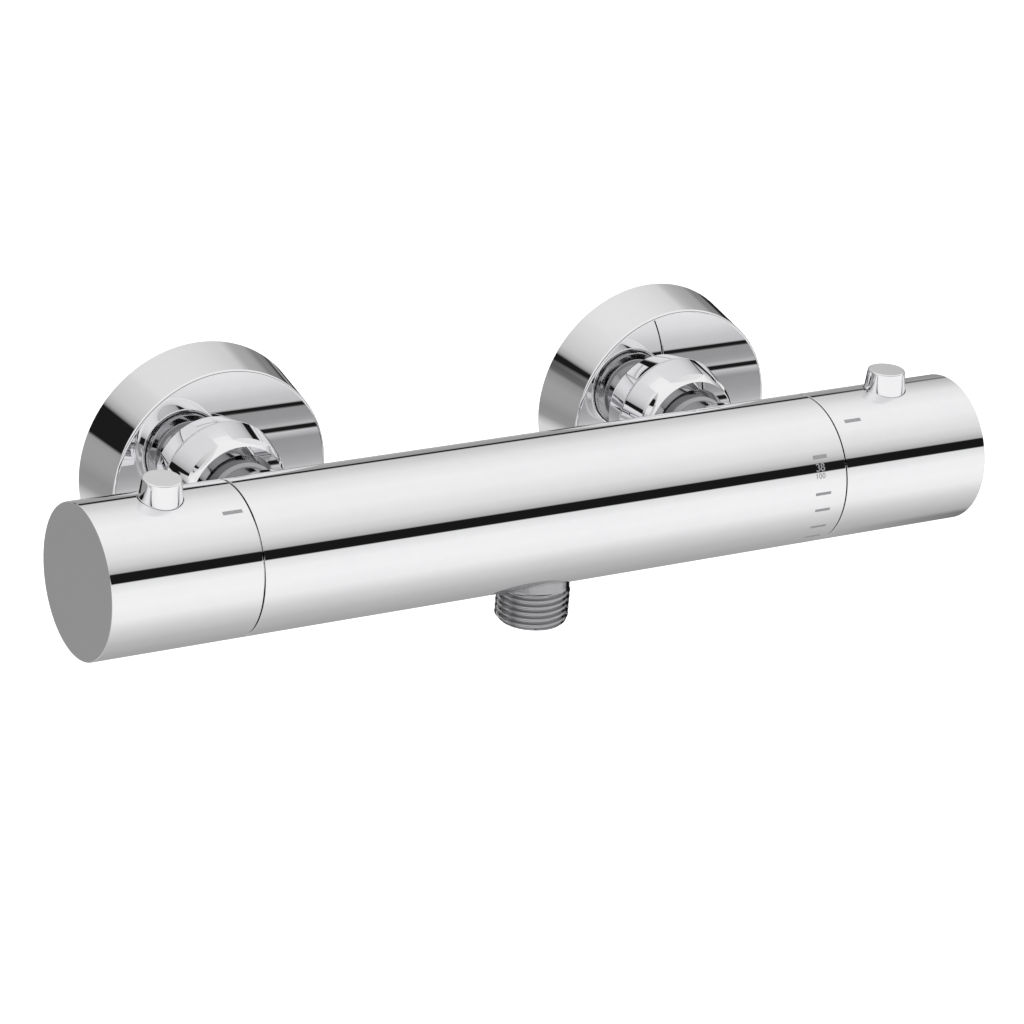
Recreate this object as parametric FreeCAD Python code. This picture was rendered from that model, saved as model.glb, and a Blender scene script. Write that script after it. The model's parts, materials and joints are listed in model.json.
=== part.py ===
import FreeCAD, Part
import math
import os
from FreeCAD import Vector

# Wall-mounted thermostatic shower valve of the bar kind, in millimetres.
#
# Everything is drawn in the bar's own frame: X runs along the bar from the hot side to the cold
# side, +Y goes into the wall, +Z is up, and the origin is on the bar's axis, midway between the
# two inlets. Just before a piece is written it is moved so that the part's origin lies on the
# finished wall, midway between the two threaded tails that screw into the wall.
#
# On each end of the bar the pieces are placed by their station: the distance outward from the end
# face of the valve body. Stations below zero are inside the body. On the inlets a piece is placed
# by its distance from the bar's axis towards the wall.
#
# Angles round the bar start at the front (-Y) and grow upwards: 90 degrees is straight up.

# ---------------------------------------------------------------- driving sizes: the outside

bar_radius = 21.45
inlet_spacing = 150.0
flow_end_land = 8.45                # of the body, beyond the hot inlet's boss and its fillet
temperature_end_land = 1.05         # and beyond the cold inlet's
flow_handle_length = 44.25
temperature_handle_length = 49.05
seam_gap = 0.4                      # between each handle and the body
edge_break = 0.35                   # small chamfer on the bar's outer edges
union_offset = 7.5                  # eccentricity of the wall unions

# Handles
handle_wall = 1.8
handle_end_wall = 2.2
spigot_length = 3.0                 # ring on the body that centres the handle
spigot_wall = 1.95
flow_button_station = 21.95
temperature_button_station = 26.15
flow_button_angle = 86.5            # where each handle stands at rest
temperature_button_angle = 91.0

# Push buttons in the handles
button_radius = 6.0
button_top_radius = 5.36
button_top = 27.1                   # above the bar's axis
button_edge = 0.4
button_flange_radius = 7.2
button_flange_bottom = 16.4         # above the bar's axis
button_travel = 2.3
button_hole_clearance = 0.15
latch_half_width = 2.4

# Wall side
rosette_depth = 17.44
rosette_front_radius = 33.04
rosette_back_radius = 35.57
rosette_edge = 0.6
rosette_wall = 1.5
rosette_face_wall = 2.0
rosette_hub_radius = 16.5
rosette_hub_room = 0.29             # from the hub to the union's block
rosette_seal_height = 1.5
rosette_seal_width = 2.6

three_quarter_thread_radius = 13.22
half_inch_thread_radius = 10.4775
tail_length = 15.0                  # of the wall union, beyond the finished wall
tail_bore_radius = 7.5
union_bore_radius = 8.5
union_block_radius = 13.6
union_block_length = 6.0
union_block_sink = 2.15             # from the block to the finished wall
union_floor = 1.5                   # wall in front of the pocket that joins both bores
union_pocket_length = 1.5
union_pocket_radius = 8.0

nut_base_radius = 18.1
nut_nose_radius = 16.2
nut_front_radius = 14.6
nut_taper_length = 8.6
nut_length = 11.1
nut_across_flats = 30.0
nut_lip = 1.6
nut_lip_bore_radius = 11.05
nut_countersink = 1.2
hot_nut_flat_angle = 73.5           # where the wrench flats come to rest
cold_nut_flat_angle = 95.0

washer_thickness = 1.5
flange_radius = 11.95               # of the inlet nipple, inside the union nut
flange_thickness = 1.75
strainer_radius = 7.9
strainer_thickness = 0.5
strainer_hole = 1.5
strainer_pitch = 2.3

neck_length = 14.36                 # from the boss to the flange inside the nut
neck_radius = 10.8
neck_relief_radius = 10.0
neck_collar_length = 4.05
neck_relief_chamfer = 0.7
neck_shoulder_radius = 11.8
neck_shoulder_length = 2.7
boss_radius = 12.8
boss_fillet = 1.0
boss_height = 25.3                  # above the bar's axis, towards the wall
nipple_thread_length = 7.8
nipple_bore_radius = 7.7
nipple_port_radius = 5.0
nipple_key = 10.0                   # hexagon key socket, across flats
nipple_seal_height = 1.7
nipple_seal_radius = 12.0

check_radius = 7.6
check_bore_radius = 5.4
check_length = 18.5
check_sink = 0.8                    # below the face of the nipple's flange
check_seat_radius = 4.0
check_seat_length = 2.0
check_spider_length = 2.0
check_hub_radius = 2.5
poppet_radius = 4.9
poppet_thickness = 1.6
stem_radius = 1.2
check_wire = 0.5
check_turns = 6

# Outlet
outlet_drop = 11.65                 # below the underside of the bar
outlet_bore_radius = 7.5
outlet_collar_radius = 10.1
outlet_collar_length = 1.75         # below the underside of the bar
outlet_chamfer = 0.7
outlet_hole_depth = 8.65
outlet_chamber_radius = 7.2
outlet_seal_height = 1.5
outlet_key = 12.0                   # hexagon key socket, across flats
outlet_key_length = 5.0

# Water ways cast inside the body
mixed_channel_radius = 7.0
way_angle = 50.0
way_inner = 12.2                    # beside the bores
way_outer = 16.2
raised_inner = 9.0                  # under the mixed channel
raised_outer = 12.6
drain_radius = 3.6

# Flow headwork with two ceramic discs
headwork_depth = 35.0
headwork_thread_length = 14.0
headwork_body_radius = 9.4
headwork_chamber_radius = 8.4
headwork_neck_radius = 3.6
headwork_flange_radius = 14.2
headwork_flange = 2.5
headwork_window_width = 9.0
seat_seal_thickness = 2.0
seat_port_radius = 6.3
disc_thickness = 3.0
disc_port_inner = 2.6
disc_port_outer = 7.0
disc_port_angle = 76.0
driver_thickness = 2.6
driver_tongue_width = 3.0
driver_tongue_length = 0.8
flow_travel = 90.0

# Thermostatic cartridge
cold_bore_radius = 15.5
hot_bore_radius = 14.6
mixed_bore_radius = 10.4
cartridge_thread_radius = 17.0
cartridge_thread_length = 6.0
nut_web = 2.0
cold_step_room = 2.4                # from the cold ports to the step of the hot bore
hot_step_room = 4.8                 # from the housing to the step of the mixed bore
mixed_seat_length = 10.0
land_length = 4.0
lower_ring = 3.6                    # housing below the hot seat
cold_waist_radius = 13.2
hot_waist_radius = 12.4
seat_bore_radius = 8.2
shuttle_bore_radius = 10.6
cold_seat_room = 1.75               # from the slider to the cold seat
shuttle_length = 11.2
shuttle_gap = 0.8                   # both seats together
shuttle_wall = 1.9
shuttle_web = 2.0
shuttle_groove = 1.3
port_width = 6.5
port_length = 4.0
ports = 6
slider_across_flats = 14.4
slider_length = 13.0
slider_end_room = 0.225             # left to the nut when the handle is at the hot stop
slider_spring_depth = 4.6
slider_bore_radius = 5.6
lead_screw_radius = 3.95
lead_screw_pitch = 1.25
plunger_thickness = 1.5
plunger_ring_thickness = 0.8
plunger_ring_bore_radius = 3.2
wax_body_radius = 4.9
wax_body_length = 19.0
wax_flange_radius = 6.8
wax_flange = 2.0
wax_neck_radius = 3.8
wax_neck = 2.3
wax_pin_radius = 1.6
return_wire = 1.1
return_turns = 5
return_spring_radius = 7.5
overload_wire = 0.9
overload_turns = 4
overload_spring_radius = 5.4
cold_turn = 30.0                    # handle travel from rest to the cold stop
hot_turn = 180.0                    # and to the hot stop

# Spindles, stop rings and handle inserts
hex_across_flats = 24.0
hex_end = 7.5                       # station of the hexagon's outer face
clip_thickness = 0.8
clip_radius = 7.2
spline_teeth = 20
spline_tip_radius = 4.0
spline_root_radius = 3.5
spline_overhang = 3.0               # of the spindle beyond the button's place
spindle_ring_station = 2.0
journal_radius = 5.0
hub_radius = 8.6
hub_start = 8.8
stop_ring_radius = 17.0
stop_ring_bore_radius = 14.4
stop_ring_end = 12.6
stop_lug_radius = 11.0
stop_finger_start = 9.2
stop_finger_end = 12.4
stop_finger_radius = 14.2
finger_angle = 40.0
stop_play = 0.4                     # degrees left at each end stop
tab_room = 0.15                     # above the latch of a pressed button
tab_outer_radius = 19.2
tab_end = 14.3
tab_angle = 10.0
tab_foot = 0.6
eco_turn = 40.0                     # from rest to where the latch meets the tab
comfort_turn = 34.0
insert_wall = 2.0
insert_web = 3.0
rib_thickness = 2.2
button_room = 0.5
pad_radius = 6.4                    # the pressed button lands on it
spring_seat_height = 10.2
spring_pocket_radius = 3.6
spring_pocket_top = 22.4
button_wire = 0.6
button_spring_radius = 3.2
button_spring_turns = 8
grub_radius = 2.0
grub_boss_radius = 4.4
grub_sink = 0.6

# Clearances
running = 0.05                      # radial, between parts that turn or slide in each other
snug = 0.03                         # between parts that are fixed in each other
seal_gap = 0.02
o_ring_section = 1.8
o_ring_groove = 2.0
spindle_ring_section = 1.2
shuttle_ring_section = 0.96

# ---------------------------------------------------------------- places that follow from them

hot_x = -inlet_spacing / 2
cold_x = inlet_spacing / 2
flow_face = hot_x - boss_radius - boss_fillet - flow_end_land
temperature_face = cold_x + boss_radius + boss_fillet + temperature_end_land
handle_bore = bar_radius - handle_wall
wall_distance = boss_height + neck_length + nut_length - nut_lip + rosette_depth
rosette_face = wall_distance - rosette_depth
nut_base = rosette_face - running
nut_front = nut_base - nut_length
flange_front = nut_front + nut_lip + running
flange_back = flange_front + flange_thickness
union_front = flange_back + washer_thickness + 2 * seal_gap
union_block_end = wall_distance - union_block_sink
union_block_start = union_block_end - union_block_length
check_end = flange_back - check_sink
check_start = check_end - check_length
check_seat = check_end - check_seat_length - seal_gap
bearing_radius = journal_radius + running
travel_per_degree = lead_screw_pitch / 360.0
slider_outer_end = -cartridge_thread_length - hot_turn * travel_per_degree - slider_end_room
slider_tail = slider_outer_end - slider_length
slider_spring_top = slider_outer_end - slider_spring_depth
cold_seat_depth = cold_seat_room - slider_tail
hot_seat_depth = cold_seat_depth + shuttle_gap + shuttle_length
cold_step = cold_seat_depth + port_length / 2 + cold_step_room
hot_step = hot_seat_depth + lower_ring + hot_step_room
cartridge_depth = hot_step + mixed_seat_length
plunger_face = slider_tail + plunger_ring_thickness + seal_gap
spindle_flange_radius = slider_across_flats / math.sqrt(3) - 1.0
upper_groove = -cartridge_thread_length - seal_gap - (land_length - o_ring_groove) / 2
middle_groove = -cold_step - (land_length - o_ring_groove) / 2
lower_groove = -hot_step - snug - land_length
spring_shoulder = -hot_step - snug - 2.0
latch_top = handle_bore - 3 * running
tab_inner_radius = latch_top - button_travel + tab_room
rest_gap = (shuttle_gap - (cold_turn + hot_turn) * travel_per_degree) / 2
shuttle_inner = -hot_seat_depth + rest_gap + cold_turn * travel_per_degree
shuttle_middle = shuttle_inner + shuttle_length / 2
web_face = shuttle_middle + shuttle_web / 2

ORIGIN = Vector(0, 0, 0)
X_AXIS = Vector(1, 0, 0)
Y_AXIS = Vector(0, 1, 0)
Z_AXIS = Vector(0, 0, 1)
BACKWARD_X = Vector(-1, 0, 0)
REACH = 60.0                        # long enough for any cutting tool


# ---------------------------------------------------------------- form helpers

def turned(profile):
    """Solid of revolution about X through (place along X, radius) points."""
    points = [Vector(along, radius, 0) for along, radius in profile]
    face = Part.Face(Part.makePolygon(points + points[:1]))
    solid = face.revolve(ORIGIN, X_AXIS, 360)
    if solid.Volume < 0:
        solid.reverse()
    return solid


def disc(start, end, radius, bore=0.0):
    """Round disc or ring about X, from start to end."""
    return turned([(start, bore), (end, bore), (end, radius), (start, radius)])


def facing_wall(shape, x=0.0):
    """The X axis of a turned shape becomes +Y, at the inlet's place x."""
    placed = shape.copy()
    placed.rotate(ORIGIN, Z_AXIS, 90)
    placed.translate(Vector(x, 0, 0))
    return placed


def upright(shape, x=0.0):
    """The X axis of a turned shape becomes +Z."""
    placed = shape.copy()
    placed.rotate(ORIGIN, Y_AXIS, -90)
    placed.translate(Vector(x, 0, 0))
    return placed


def hanging(shape, x=0.0):
    """The X axis of a turned shape becomes -Z."""
    placed = shape.copy()
    placed.rotate(ORIGIN, Y_AXIS, 90)
    placed.translate(Vector(x, 0, 0))
    return placed


def prism(outline, start, end):
    """Prism along X over an outline of (y, z) points."""
    points = [Vector(start, y, z) for y, z in outline]
    face = Part.Face(Part.makePolygon(points + points[:1]))
    return face.extrude(Vector(end - start, 0, 0))


def hexagon(across_flats, start, end, turn=0.0):
    """Hexagonal prism along X."""
    corner = across_flats / math.sqrt(3)
    angles = [math.radians(turn + 60 * k) for k in range(6)]
    return prism([(corner * math.cos(a), corner * math.sin(a)) for a in angles], start, end)


def spline(root, tip, start, end):
    """Prism along X with straight-sided teeth, as on a tap spindle."""
    outline = []
    pitch = 2 * math.pi / spline_teeth
    for tooth in range(spline_teeth):
        for radius, share in ((root, -0.36), (tip, -0.14), (tip, 0.14), (root, 0.36)):
            angle = (tooth + share) * pitch
            outline.append((radius * math.cos(angle), radius * math.sin(angle)))
    return prism(outline, start, end)


def sector(inner, outer, start, end, first_angle, last_angle):
    """Piece of a ring about X between two angles round the bar."""
    corners = ((start, inner), (end, inner), (end, outer), (start, outer), (start, inner))
    face = Part.Face(Part.makePolygon([Vector(along, -radius, 0) for along, radius in corners]))
    face.rotate(ORIGIN, BACKWARD_X, first_angle)
    solid = face.revolve(ORIGIN, BACKWARD_X, last_angle - first_angle)
    if solid.Volume < 0:
        solid.reverse()
    return solid


def radial_slot(start, end, width, inner, outer, angle):
    """Block that reaches from the inner to the outer radius at an angle round the bar."""
    block = Part.makeBox(end - start, outer - inner, width, Vector(start, -outer, -width / 2))
    block.rotate(ORIGIN, BACKWARD_X, angle)
    return block


def o_ring(centre, wall_radius, section):
    """Round rubber ring about X, just inside a wall of the given radius."""
    radius = wall_radius - seal_gap - section / 2
    return Part.makeTorus(radius, section / 2 - seal_gap, Vector(centre, 0, 0), X_AXIS)


def coil_spring(start, end, outer_radius, wire, turns):
    """Helical spring along X in one unbroken wire, made of half-turn arcs."""
    radius = outer_radius - wire / 2
    first = start + wire / 2
    rise = (end - start - wire) / (2 * turns)

    def on_coil(halves):
        angle = math.pi * halves
        return Vector(first + rise * halves, radius * math.cos(angle), radius * math.sin(angle))

    arcs = [Part.Arc(on_coil(k / 2), on_coil(k / 2 + 0.25), on_coil(k / 2 + 0.5))
            for k in range(4 * turns)]
    path = Part.Wire([arc.toShape() for arc in arcs])
    tangent = path.Edges[0].tangentAt(path.Edges[0].FirstParameter)
    section = Part.Wire([Part.makeCircle(wire / 2, on_coil(0), tangent)])
    gap = 2 * rise - wire
    print("spring of %d turns: gap between turns %.2f mm" % (turns, gap))
    return path.makePipeShell([section], True, False)


# ---------------------------------------------------------------- the two ends of the bar

class End:
    """One end of the bar: where its body face is, which way is outward, and its handle."""

    def __init__(self, face, outward, handle_length, button_station, button_angle, backward, forward,
                 latch_turn):
        self.face = face
        self.outward = outward
        self.handle_end = seam_gap + handle_length
        self.button_station = button_station
        self.button_angle = button_angle
        self.backward = backward
        self.forward = forward
        self.latch_turn = latch_turn

    def x(self, station):
        """Place along the bar of a station."""
        return self.face + self.outward * station

    def turned(self, profile):
        return turned([(self.x(station), radius) for station, radius in profile])

    def disc(self, start, end, radius, bore=0.0):
        return self.turned([(start, bore), (end, bore), (end, radius), (start, radius)])

    def span(self, start, end):
        """The two stations as places along the bar, in rising order."""
        return sorted((self.x(start), self.x(end)))

    def at_rest(self, shape):
        """Turn a shape that was drawn with its button straight up to where the handle rests."""
        placed = shape.copy()
        placed.rotate(ORIGIN, X_AXIS, 90.0 - self.button_angle)
        return placed


FLOW = End(flow_face, -1, flow_handle_length, flow_button_station, flow_button_angle, 0.0, flow_travel,
           eco_turn)
TEMPERATURE = End(temperature_face, 1, temperature_handle_length, temperature_button_station,
                  temperature_button_angle, cold_turn, hot_turn, comfort_turn)


# ---------------------------------------------------------------- valve body

def water_way(centre_angle, start, end, inner, outer):
    """Cored passage beside the bores: a sector of a ring about the bar's axis."""
    return sector(inner, outer, start, end, centre_angle - way_angle / 2, centre_angle + way_angle / 2)


def outside_of_body():
    """Middle of the bar with a boss at each inlet, blended into the round."""
    body = turned([(flow_face, 0), (flow_face, bar_radius - edge_break), (flow_face + edge_break, bar_radius),
                   (temperature_face - edge_break, bar_radius), (temperature_face, bar_radius - edge_break),
                   (temperature_face, 0)])
    for x in (hot_x, cold_x):
        body = body.fuse(facing_wall(disc(bar_radius / 2, boss_height, boss_radius), x))
    feet = [edge for edge in body.Edges if boss_radius < edge.BoundBox.YMax < boss_height - 0.1
            and edge.BoundBox.YMin > boss_radius and edge.BoundBox.ZLength > boss_radius]
    body = body.makeFillet(boss_fillet, feet)
    for end in (FLOW, TEMPERATURE):
        outer = handle_bore - 4 * running
        body = body.fuse(end.disc(-1.0, spigot_length, outer, outer - spigot_wall))
    return body


def valve_body():
    """Brass casting: the middle of the bar, with both cartridge seats and the water ways."""
    body = outside_of_body()

    # Seat of the flow headwork and the port that feeds it
    body = body.cut(FLOW.disc(-headwork_depth, 1.0, half_inch_thread_radius + snug))
    seat_x = FLOW.x(-headwork_depth)
    cartridge_end_x = TEMPERATURE.x(-cartridge_depth)
    body = body.cut(disc(seat_x - 1.0, seat_x + 4.0, seat_port_radius))
    body = body.cut(disc(seat_x + 3.0, cartridge_end_x + 1.0, mixed_channel_radius))

    # Stepped seat of the thermostatic cartridge
    for start, end_station, radius in ((-cartridge_thread_length, 1.0, cartridge_thread_radius + snug),
                                       (-cold_step, -cartridge_thread_length + 1.0, cold_bore_radius),
                                       (-hot_step, -cold_step + 1.0, hot_bore_radius),
                                       (-cartridge_depth, -hot_step + 1.0, mixed_bore_radius)):
        body = body.cut(TEMPERATURE.disc(start, end_station, radius))

    # Threaded inlets, with the counterbore of their rings
    thread_bottom = boss_height - nipple_thread_length - 0.5
    counterbore = disc(boss_height - nipple_seal_height, boss_height + 1, nipple_seal_radius)
    thread = disc(thread_bottom, boss_height + 1, half_inch_thread_radius + snug)
    for x in (hot_x, cold_x):
        body = body.cut(facing_wall(thread, x))
        body = body.cut(facing_wall(counterbore, x))
    body = body.cut(facing_wall(disc(way_outer - 1, thread_bottom + 1, nipple_port_radius), hot_x))
    body = body.cut(facing_wall(disc(cold_bore_radius / 2, thread_bottom + 1, nipple_port_radius), cold_x))

    # Hot way along the back, mixed way along the underside and up to the outlet's chamber
    drain_x = FLOW.x(-headwork_thread_length - 2 * drain_radius)
    rise_x = FLOW.x(-headwork_depth) + 4.0
    step = way_outer - way_inner
    drain = hanging(disc(headwork_body_radius, way_outer - 1, drain_radius), drain_x)
    outlet_top = bar_radius - outlet_hole_depth
    chamber = hanging(disc(raised_inner, outlet_top + 1, outlet_chamber_radius))
    outlet_hole = hanging(disc(outlet_top, bar_radius + 2, outlet_collar_radius + snug))
    hot_way_end = TEMPERATURE.x(-cold_step - land_length)
    for tool in (water_way(180, hot_x - nipple_port_radius, hot_way_end, way_inner, way_outer), drain,
                 water_way(270, drain_x - drain_radius, rise_x + step, way_inner, way_outer),
                 water_way(270, rise_x, rise_x + step, raised_inner, way_outer),
                 water_way(270, rise_x, 0.0, raised_inner, raised_outer), chamber, outlet_hole):
        body = body.cut(tool)
    return body.removeSplitter()


# ---------------------------------------------------------------- inlets, from the body to the wall

def inlet_nipple():
    """Screwed neck between the body and the union nut, with the check valve's bore."""
    front = boss_height - nipple_thread_length
    shoulder = boss_height + neck_shoulder_length
    collar = flange_front - neck_collar_length
    bore_end = check_start - seal_gap
    neck = turned([(front, 0), (front, half_inch_thread_radius),
                   (boss_height, half_inch_thread_radius), (boss_height, neck_shoulder_radius),
                   (shoulder - neck_relief_chamfer, neck_shoulder_radius), (shoulder, neck_relief_radius),
                   (collar - neck_relief_chamfer, neck_relief_radius), (collar, neck_radius),
                   (flange_front, neck_radius), (flange_front, flange_radius), (flange_back, flange_radius),
                   (flange_back, nipple_bore_radius), (bore_end, nipple_bore_radius), (bore_end, 0)])
    return neck.cut(hexagon(nipple_key, front - 1, bore_end + 1))


def nipple_ring():
    """Flat rubber ring in the counterbore of the boss."""
    return disc(boss_height - nipple_seal_height + seal_gap, boss_height - seal_gap,
                nipple_seal_radius - seal_gap, half_inch_thread_radius + seal_gap)


def check_housing():
    """Plastic insert of the non-return valve: seat at the wall side, spider at the bar side."""
    seat = check_end - check_seat_length
    spider = check_start + check_spider_length
    tube = turned([(check_start, check_bore_radius), (check_start, check_radius), (check_end, check_radius),
                   (check_end, check_seat_radius), (seat, check_seat_radius), (seat, check_bore_radius)])
    tube = tube.fuse(disc(check_start, spider, check_hub_radius))
    for arm in range(3):
        tube = tube.fuse(radial_slot(check_start, spider, 1.6, check_hub_radius - 0.6,
                                     check_bore_radius + 0.4, 120 * arm))
    return tube.cut(disc(check_start - 1, spider + 1, stem_radius + running)).removeSplitter()


def check_poppet():
    """Mushroom that rests on the seat and opens towards the bar."""
    back = check_seat - poppet_thickness
    tip = check_start + 0.4
    return turned([(tip, 0), (tip, stem_radius), (back, stem_radius), (back, poppet_radius - 1.2),
                   (check_seat - 0.8, poppet_radius), (check_seat, poppet_radius), (check_seat, 0)])


def check_spring():
    """Light spring round the poppet's stem."""
    start = check_start + check_spider_length + seal_gap
    end = check_seat - poppet_thickness - seal_gap
    return coil_spring(start, end, poppet_radius - 1.4, check_wire, check_turns)


def strainer():
    """Square-mesh sieve that stands in the washer."""
    start = flange_back + seal_gap
    sieve = disc(start, start + strainer_thickness, strainer_radius)
    reach = int(strainer_radius / strainer_pitch)
    holes = []
    for row in range(-reach, reach + 1):
        for column in range(-reach, reach + 1):
            y = row * strainer_pitch
            z = column * strainer_pitch
            if math.hypot(y, z) + strainer_hole < strainer_radius:
                corner = Vector(start - 1, y - strainer_hole / 2, z - strainer_hole / 2)
                holes.append(Part.makeBox(strainer_thickness + 2, strainer_hole, strainer_hole, corner))
    return sieve.cut(holes)


def union_washer():
    """Flat rubber washer between the nipple and the wall union."""
    start = flange_back + seal_gap
    return disc(start, start + washer_thickness, flange_radius - 0.1, strainer_radius + snug)


def union_nut(flat_angle):
    """Tapered nut whose nose carries six wrench flats and a turned chamfer."""
    nose = nut_base - nut_taper_length
    outside = turned([(nut_front, 0), (nut_front, nut_front_radius), (nose, nut_nose_radius),
                      (nut_base, nut_base_radius), (nut_base, 0)])
    blank = hexagon(nut_across_flats, nut_front - 1, nose, flat_angle - 30.0).fuse(
        disc(nose, nut_base + 1, nut_base_radius + 1))
    nut = outside.common(blank)
    lip_end = nut_front + nut_lip
    bore = turned([(nut_front - 1, 0), (nut_front - 1, nut_lip_bore_radius + nut_countersink + 1),
                   (nut_front, nut_lip_bore_radius + nut_countersink),
                   (nut_front + nut_countersink, nut_lip_bore_radius), (lip_end, nut_lip_bore_radius),
                   (lip_end, three_quarter_thread_radius + snug),
                   (nut_base + 1, three_quarter_thread_radius + snug), (nut_base + 1, 0)])
    return nut.cut(bore)


def s_union():
    """Eccentric wall union: G3/4 towards the valve, G1/2 tail into the wall, offset downwards."""
    block_start = union_block_start
    block_end = union_block_end
    tail_end = wall_distance + tail_length
    offset = Vector(0, 0, -union_offset)
    front = turned([(union_front, 0), (union_front, three_quarter_thread_radius - 0.7),
                    (union_front + 0.7, three_quarter_thread_radius),
                    (block_start, three_quarter_thread_radius), (block_start, 0)])
    upper = facing_wall(disc(block_start, block_end, union_block_radius))
    lower = upper.copy()
    lower.translate(offset)
    between = Part.makeBox(2 * union_block_radius, block_end - block_start, union_offset,
                           Vector(-union_block_radius, block_start, -union_offset))
    tail = facing_wall(turned([(block_end, 0), (block_end, half_inch_thread_radius - 0.8),
                               (wall_distance - 1.5, half_inch_thread_radius - 0.8),
                               (wall_distance - 1.0, half_inch_thread_radius),
                               (tail_end - 0.8, half_inch_thread_radius),
                               (tail_end, half_inch_thread_radius - 0.8), (tail_end, 0)]))
    tail.translate(offset)
    body = facing_wall(front).fuse(upper).fuse(lower).fuse(between).fuse(tail)
    pocket_start = block_start + union_floor
    pocket_end = pocket_start + union_pocket_length
    way = facing_wall(disc(pocket_start, pocket_end, union_pocket_radius).fuse(
        disc(pocket_end - 0.5, tail_end + 1, tail_bore_radius)))
    way.translate(offset)
    body = body.cut(way)
    return body.cut(facing_wall(disc(union_front - 1, pocket_end, union_bore_radius))).removeSplitter()


def rosette():
    """Deep pressed cup that covers the hole in the wall, with a threaded hub on the union."""
    slope = (rosette_back_radius - rosette_front_radius) / rosette_depth
    inner_front = rosette_front_radius + slope * rosette_face_wall - rosette_wall
    face_in = rosette_face + rosette_face_wall
    hub_end = union_block_start - rosette_hub_room
    bore = three_quarter_thread_radius + running
    return turned([(rosette_face, bore), (rosette_face, rosette_front_radius - rosette_edge),
                   (rosette_face + rosette_edge, rosette_front_radius + slope * rosette_edge),
                   (wall_distance, rosette_back_radius), (wall_distance, rosette_back_radius - rosette_wall),
                   (face_in, inner_front), (face_in, rosette_hub_radius), (hub_end, rosette_hub_radius),
                   (hub_end, bore)])


def rosette_seal():
    """Rubber ring inside the rim of the cup, against the wall."""
    slope = (rosette_back_radius - rosette_front_radius) / rosette_depth
    outer = rosette_back_radius - rosette_wall - slope * rosette_seal_height - seal_gap
    return disc(wall_distance - rosette_seal_height, wall_distance, outer, outer - rosette_seal_width)


# ---------------------------------------------------------------- outlet

def outlet_nipple():
    """Screwed nipple for the shower hose, with its key socket inside."""
    top = bar_radius - outlet_hole_depth + outlet_seal_height + 2 * seal_gap
    socket_end = top + outlet_key_length
    collar_end = bar_radius + outlet_collar_length
    end = bar_radius + outlet_drop
    nipple = turned([(top, 0), (top, outlet_collar_radius), (collar_end, outlet_collar_radius),
                     (collar_end, half_inch_thread_radius), (end - outlet_chamfer, half_inch_thread_radius),
                     (end, half_inch_thread_radius - outlet_chamfer), (end, outlet_bore_radius),
                     (socket_end, outlet_bore_radius), (socket_end, 0)])
    return hanging(nipple.cut(hexagon(outlet_key, top - 1, socket_end + 1)))


def outlet_seal():
    """Flat ring between the nipple and the bottom of its hole."""
    top = bar_radius - outlet_hole_depth + seal_gap
    return hanging(disc(top, top + outlet_seal_height, outlet_collar_radius - 0.1, outlet_chamber_radius))


# ---------------------------------------------------------------- flow headwork

def headwork_housing():
    """Brass headwork: flange and hexagon outside, thread in the body, windows round the discs."""
    bottom = -headwork_depth + seat_seal_thickness
    chamber_top = bottom + 3 * disc_thickness + driver_thickness + 2.0
    housing = FLOW.turned([(bottom, headwork_chamber_radius), (bottom, headwork_body_radius),
                           (-headwork_thread_length, headwork_body_radius),
                           (-headwork_thread_length, half_inch_thread_radius), (0, half_inch_thread_radius),
                           (0, headwork_flange_radius), (headwork_flange, headwork_flange_radius),
                           (headwork_flange, bearing_radius), (chamber_top, bearing_radius),
                           (chamber_top, headwork_chamber_radius)])
    nut = hexagon(hex_across_flats, *FLOW.span(headwork_flange - 0.5, hex_end))
    housing = housing.fuse(nut.cut(FLOW.disc(0, hex_end + 1, bearing_radius)))
    window_start = bottom + 2 * disc_thickness + 2 * seal_gap
    start, end = FLOW.span(window_start, chamber_top - 1.0)
    for angle in (90, 270):
        housing = housing.cut(radial_slot(start, end, headwork_window_width, headwork_chamber_radius / 2,
                                          headwork_body_radius + 2, angle))
    return housing.removeSplitter()


def ceramic_disc(start, first_angle):
    """Ceramic disc with two opposite sector ports."""
    body = FLOW.disc(start, start + disc_thickness, headwork_chamber_radius - running)
    first, last = FLOW.span(start - 1, start + disc_thickness + 1)
    for half in (0, 180):
        body = body.cut(sector(disc_port_inner, disc_port_outer, first, last, first_angle + half,
                               first_angle + half + disc_port_angle))
    return body


def spindle_head(end):
    """Profile shared by both spindles, from the bearing outward: journal, clip groove, shoulder."""
    groove = journal_radius - 0.6
    return [(hex_end + seal_gap, journal_radius), (hex_end + seal_gap, groove), (hub_start - 0.3, groove),
            (hub_start - 0.3, 0)]


def finish_spindle(end, spindle):
    """Add the splined end and the groove of the rubber ring."""
    teeth = spline(spline_root_radius, spline_tip_radius,
                   *end.span(hub_start - 0.5, end.button_station + spline_overhang))
    width = spindle_ring_section + 0.3
    groove = end.disc(spindle_ring_station - width / 2, spindle_ring_station + width / 2,
                      journal_radius + 1, journal_radius - spindle_ring_section)
    return end.at_rest(spindle.fuse(teeth).cut(groove))


def spindle_ring(end):
    """Rubber ring of a spindle."""
    return o_ring(end.x(spindle_ring_station), bearing_radius, spindle_ring_section)


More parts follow.
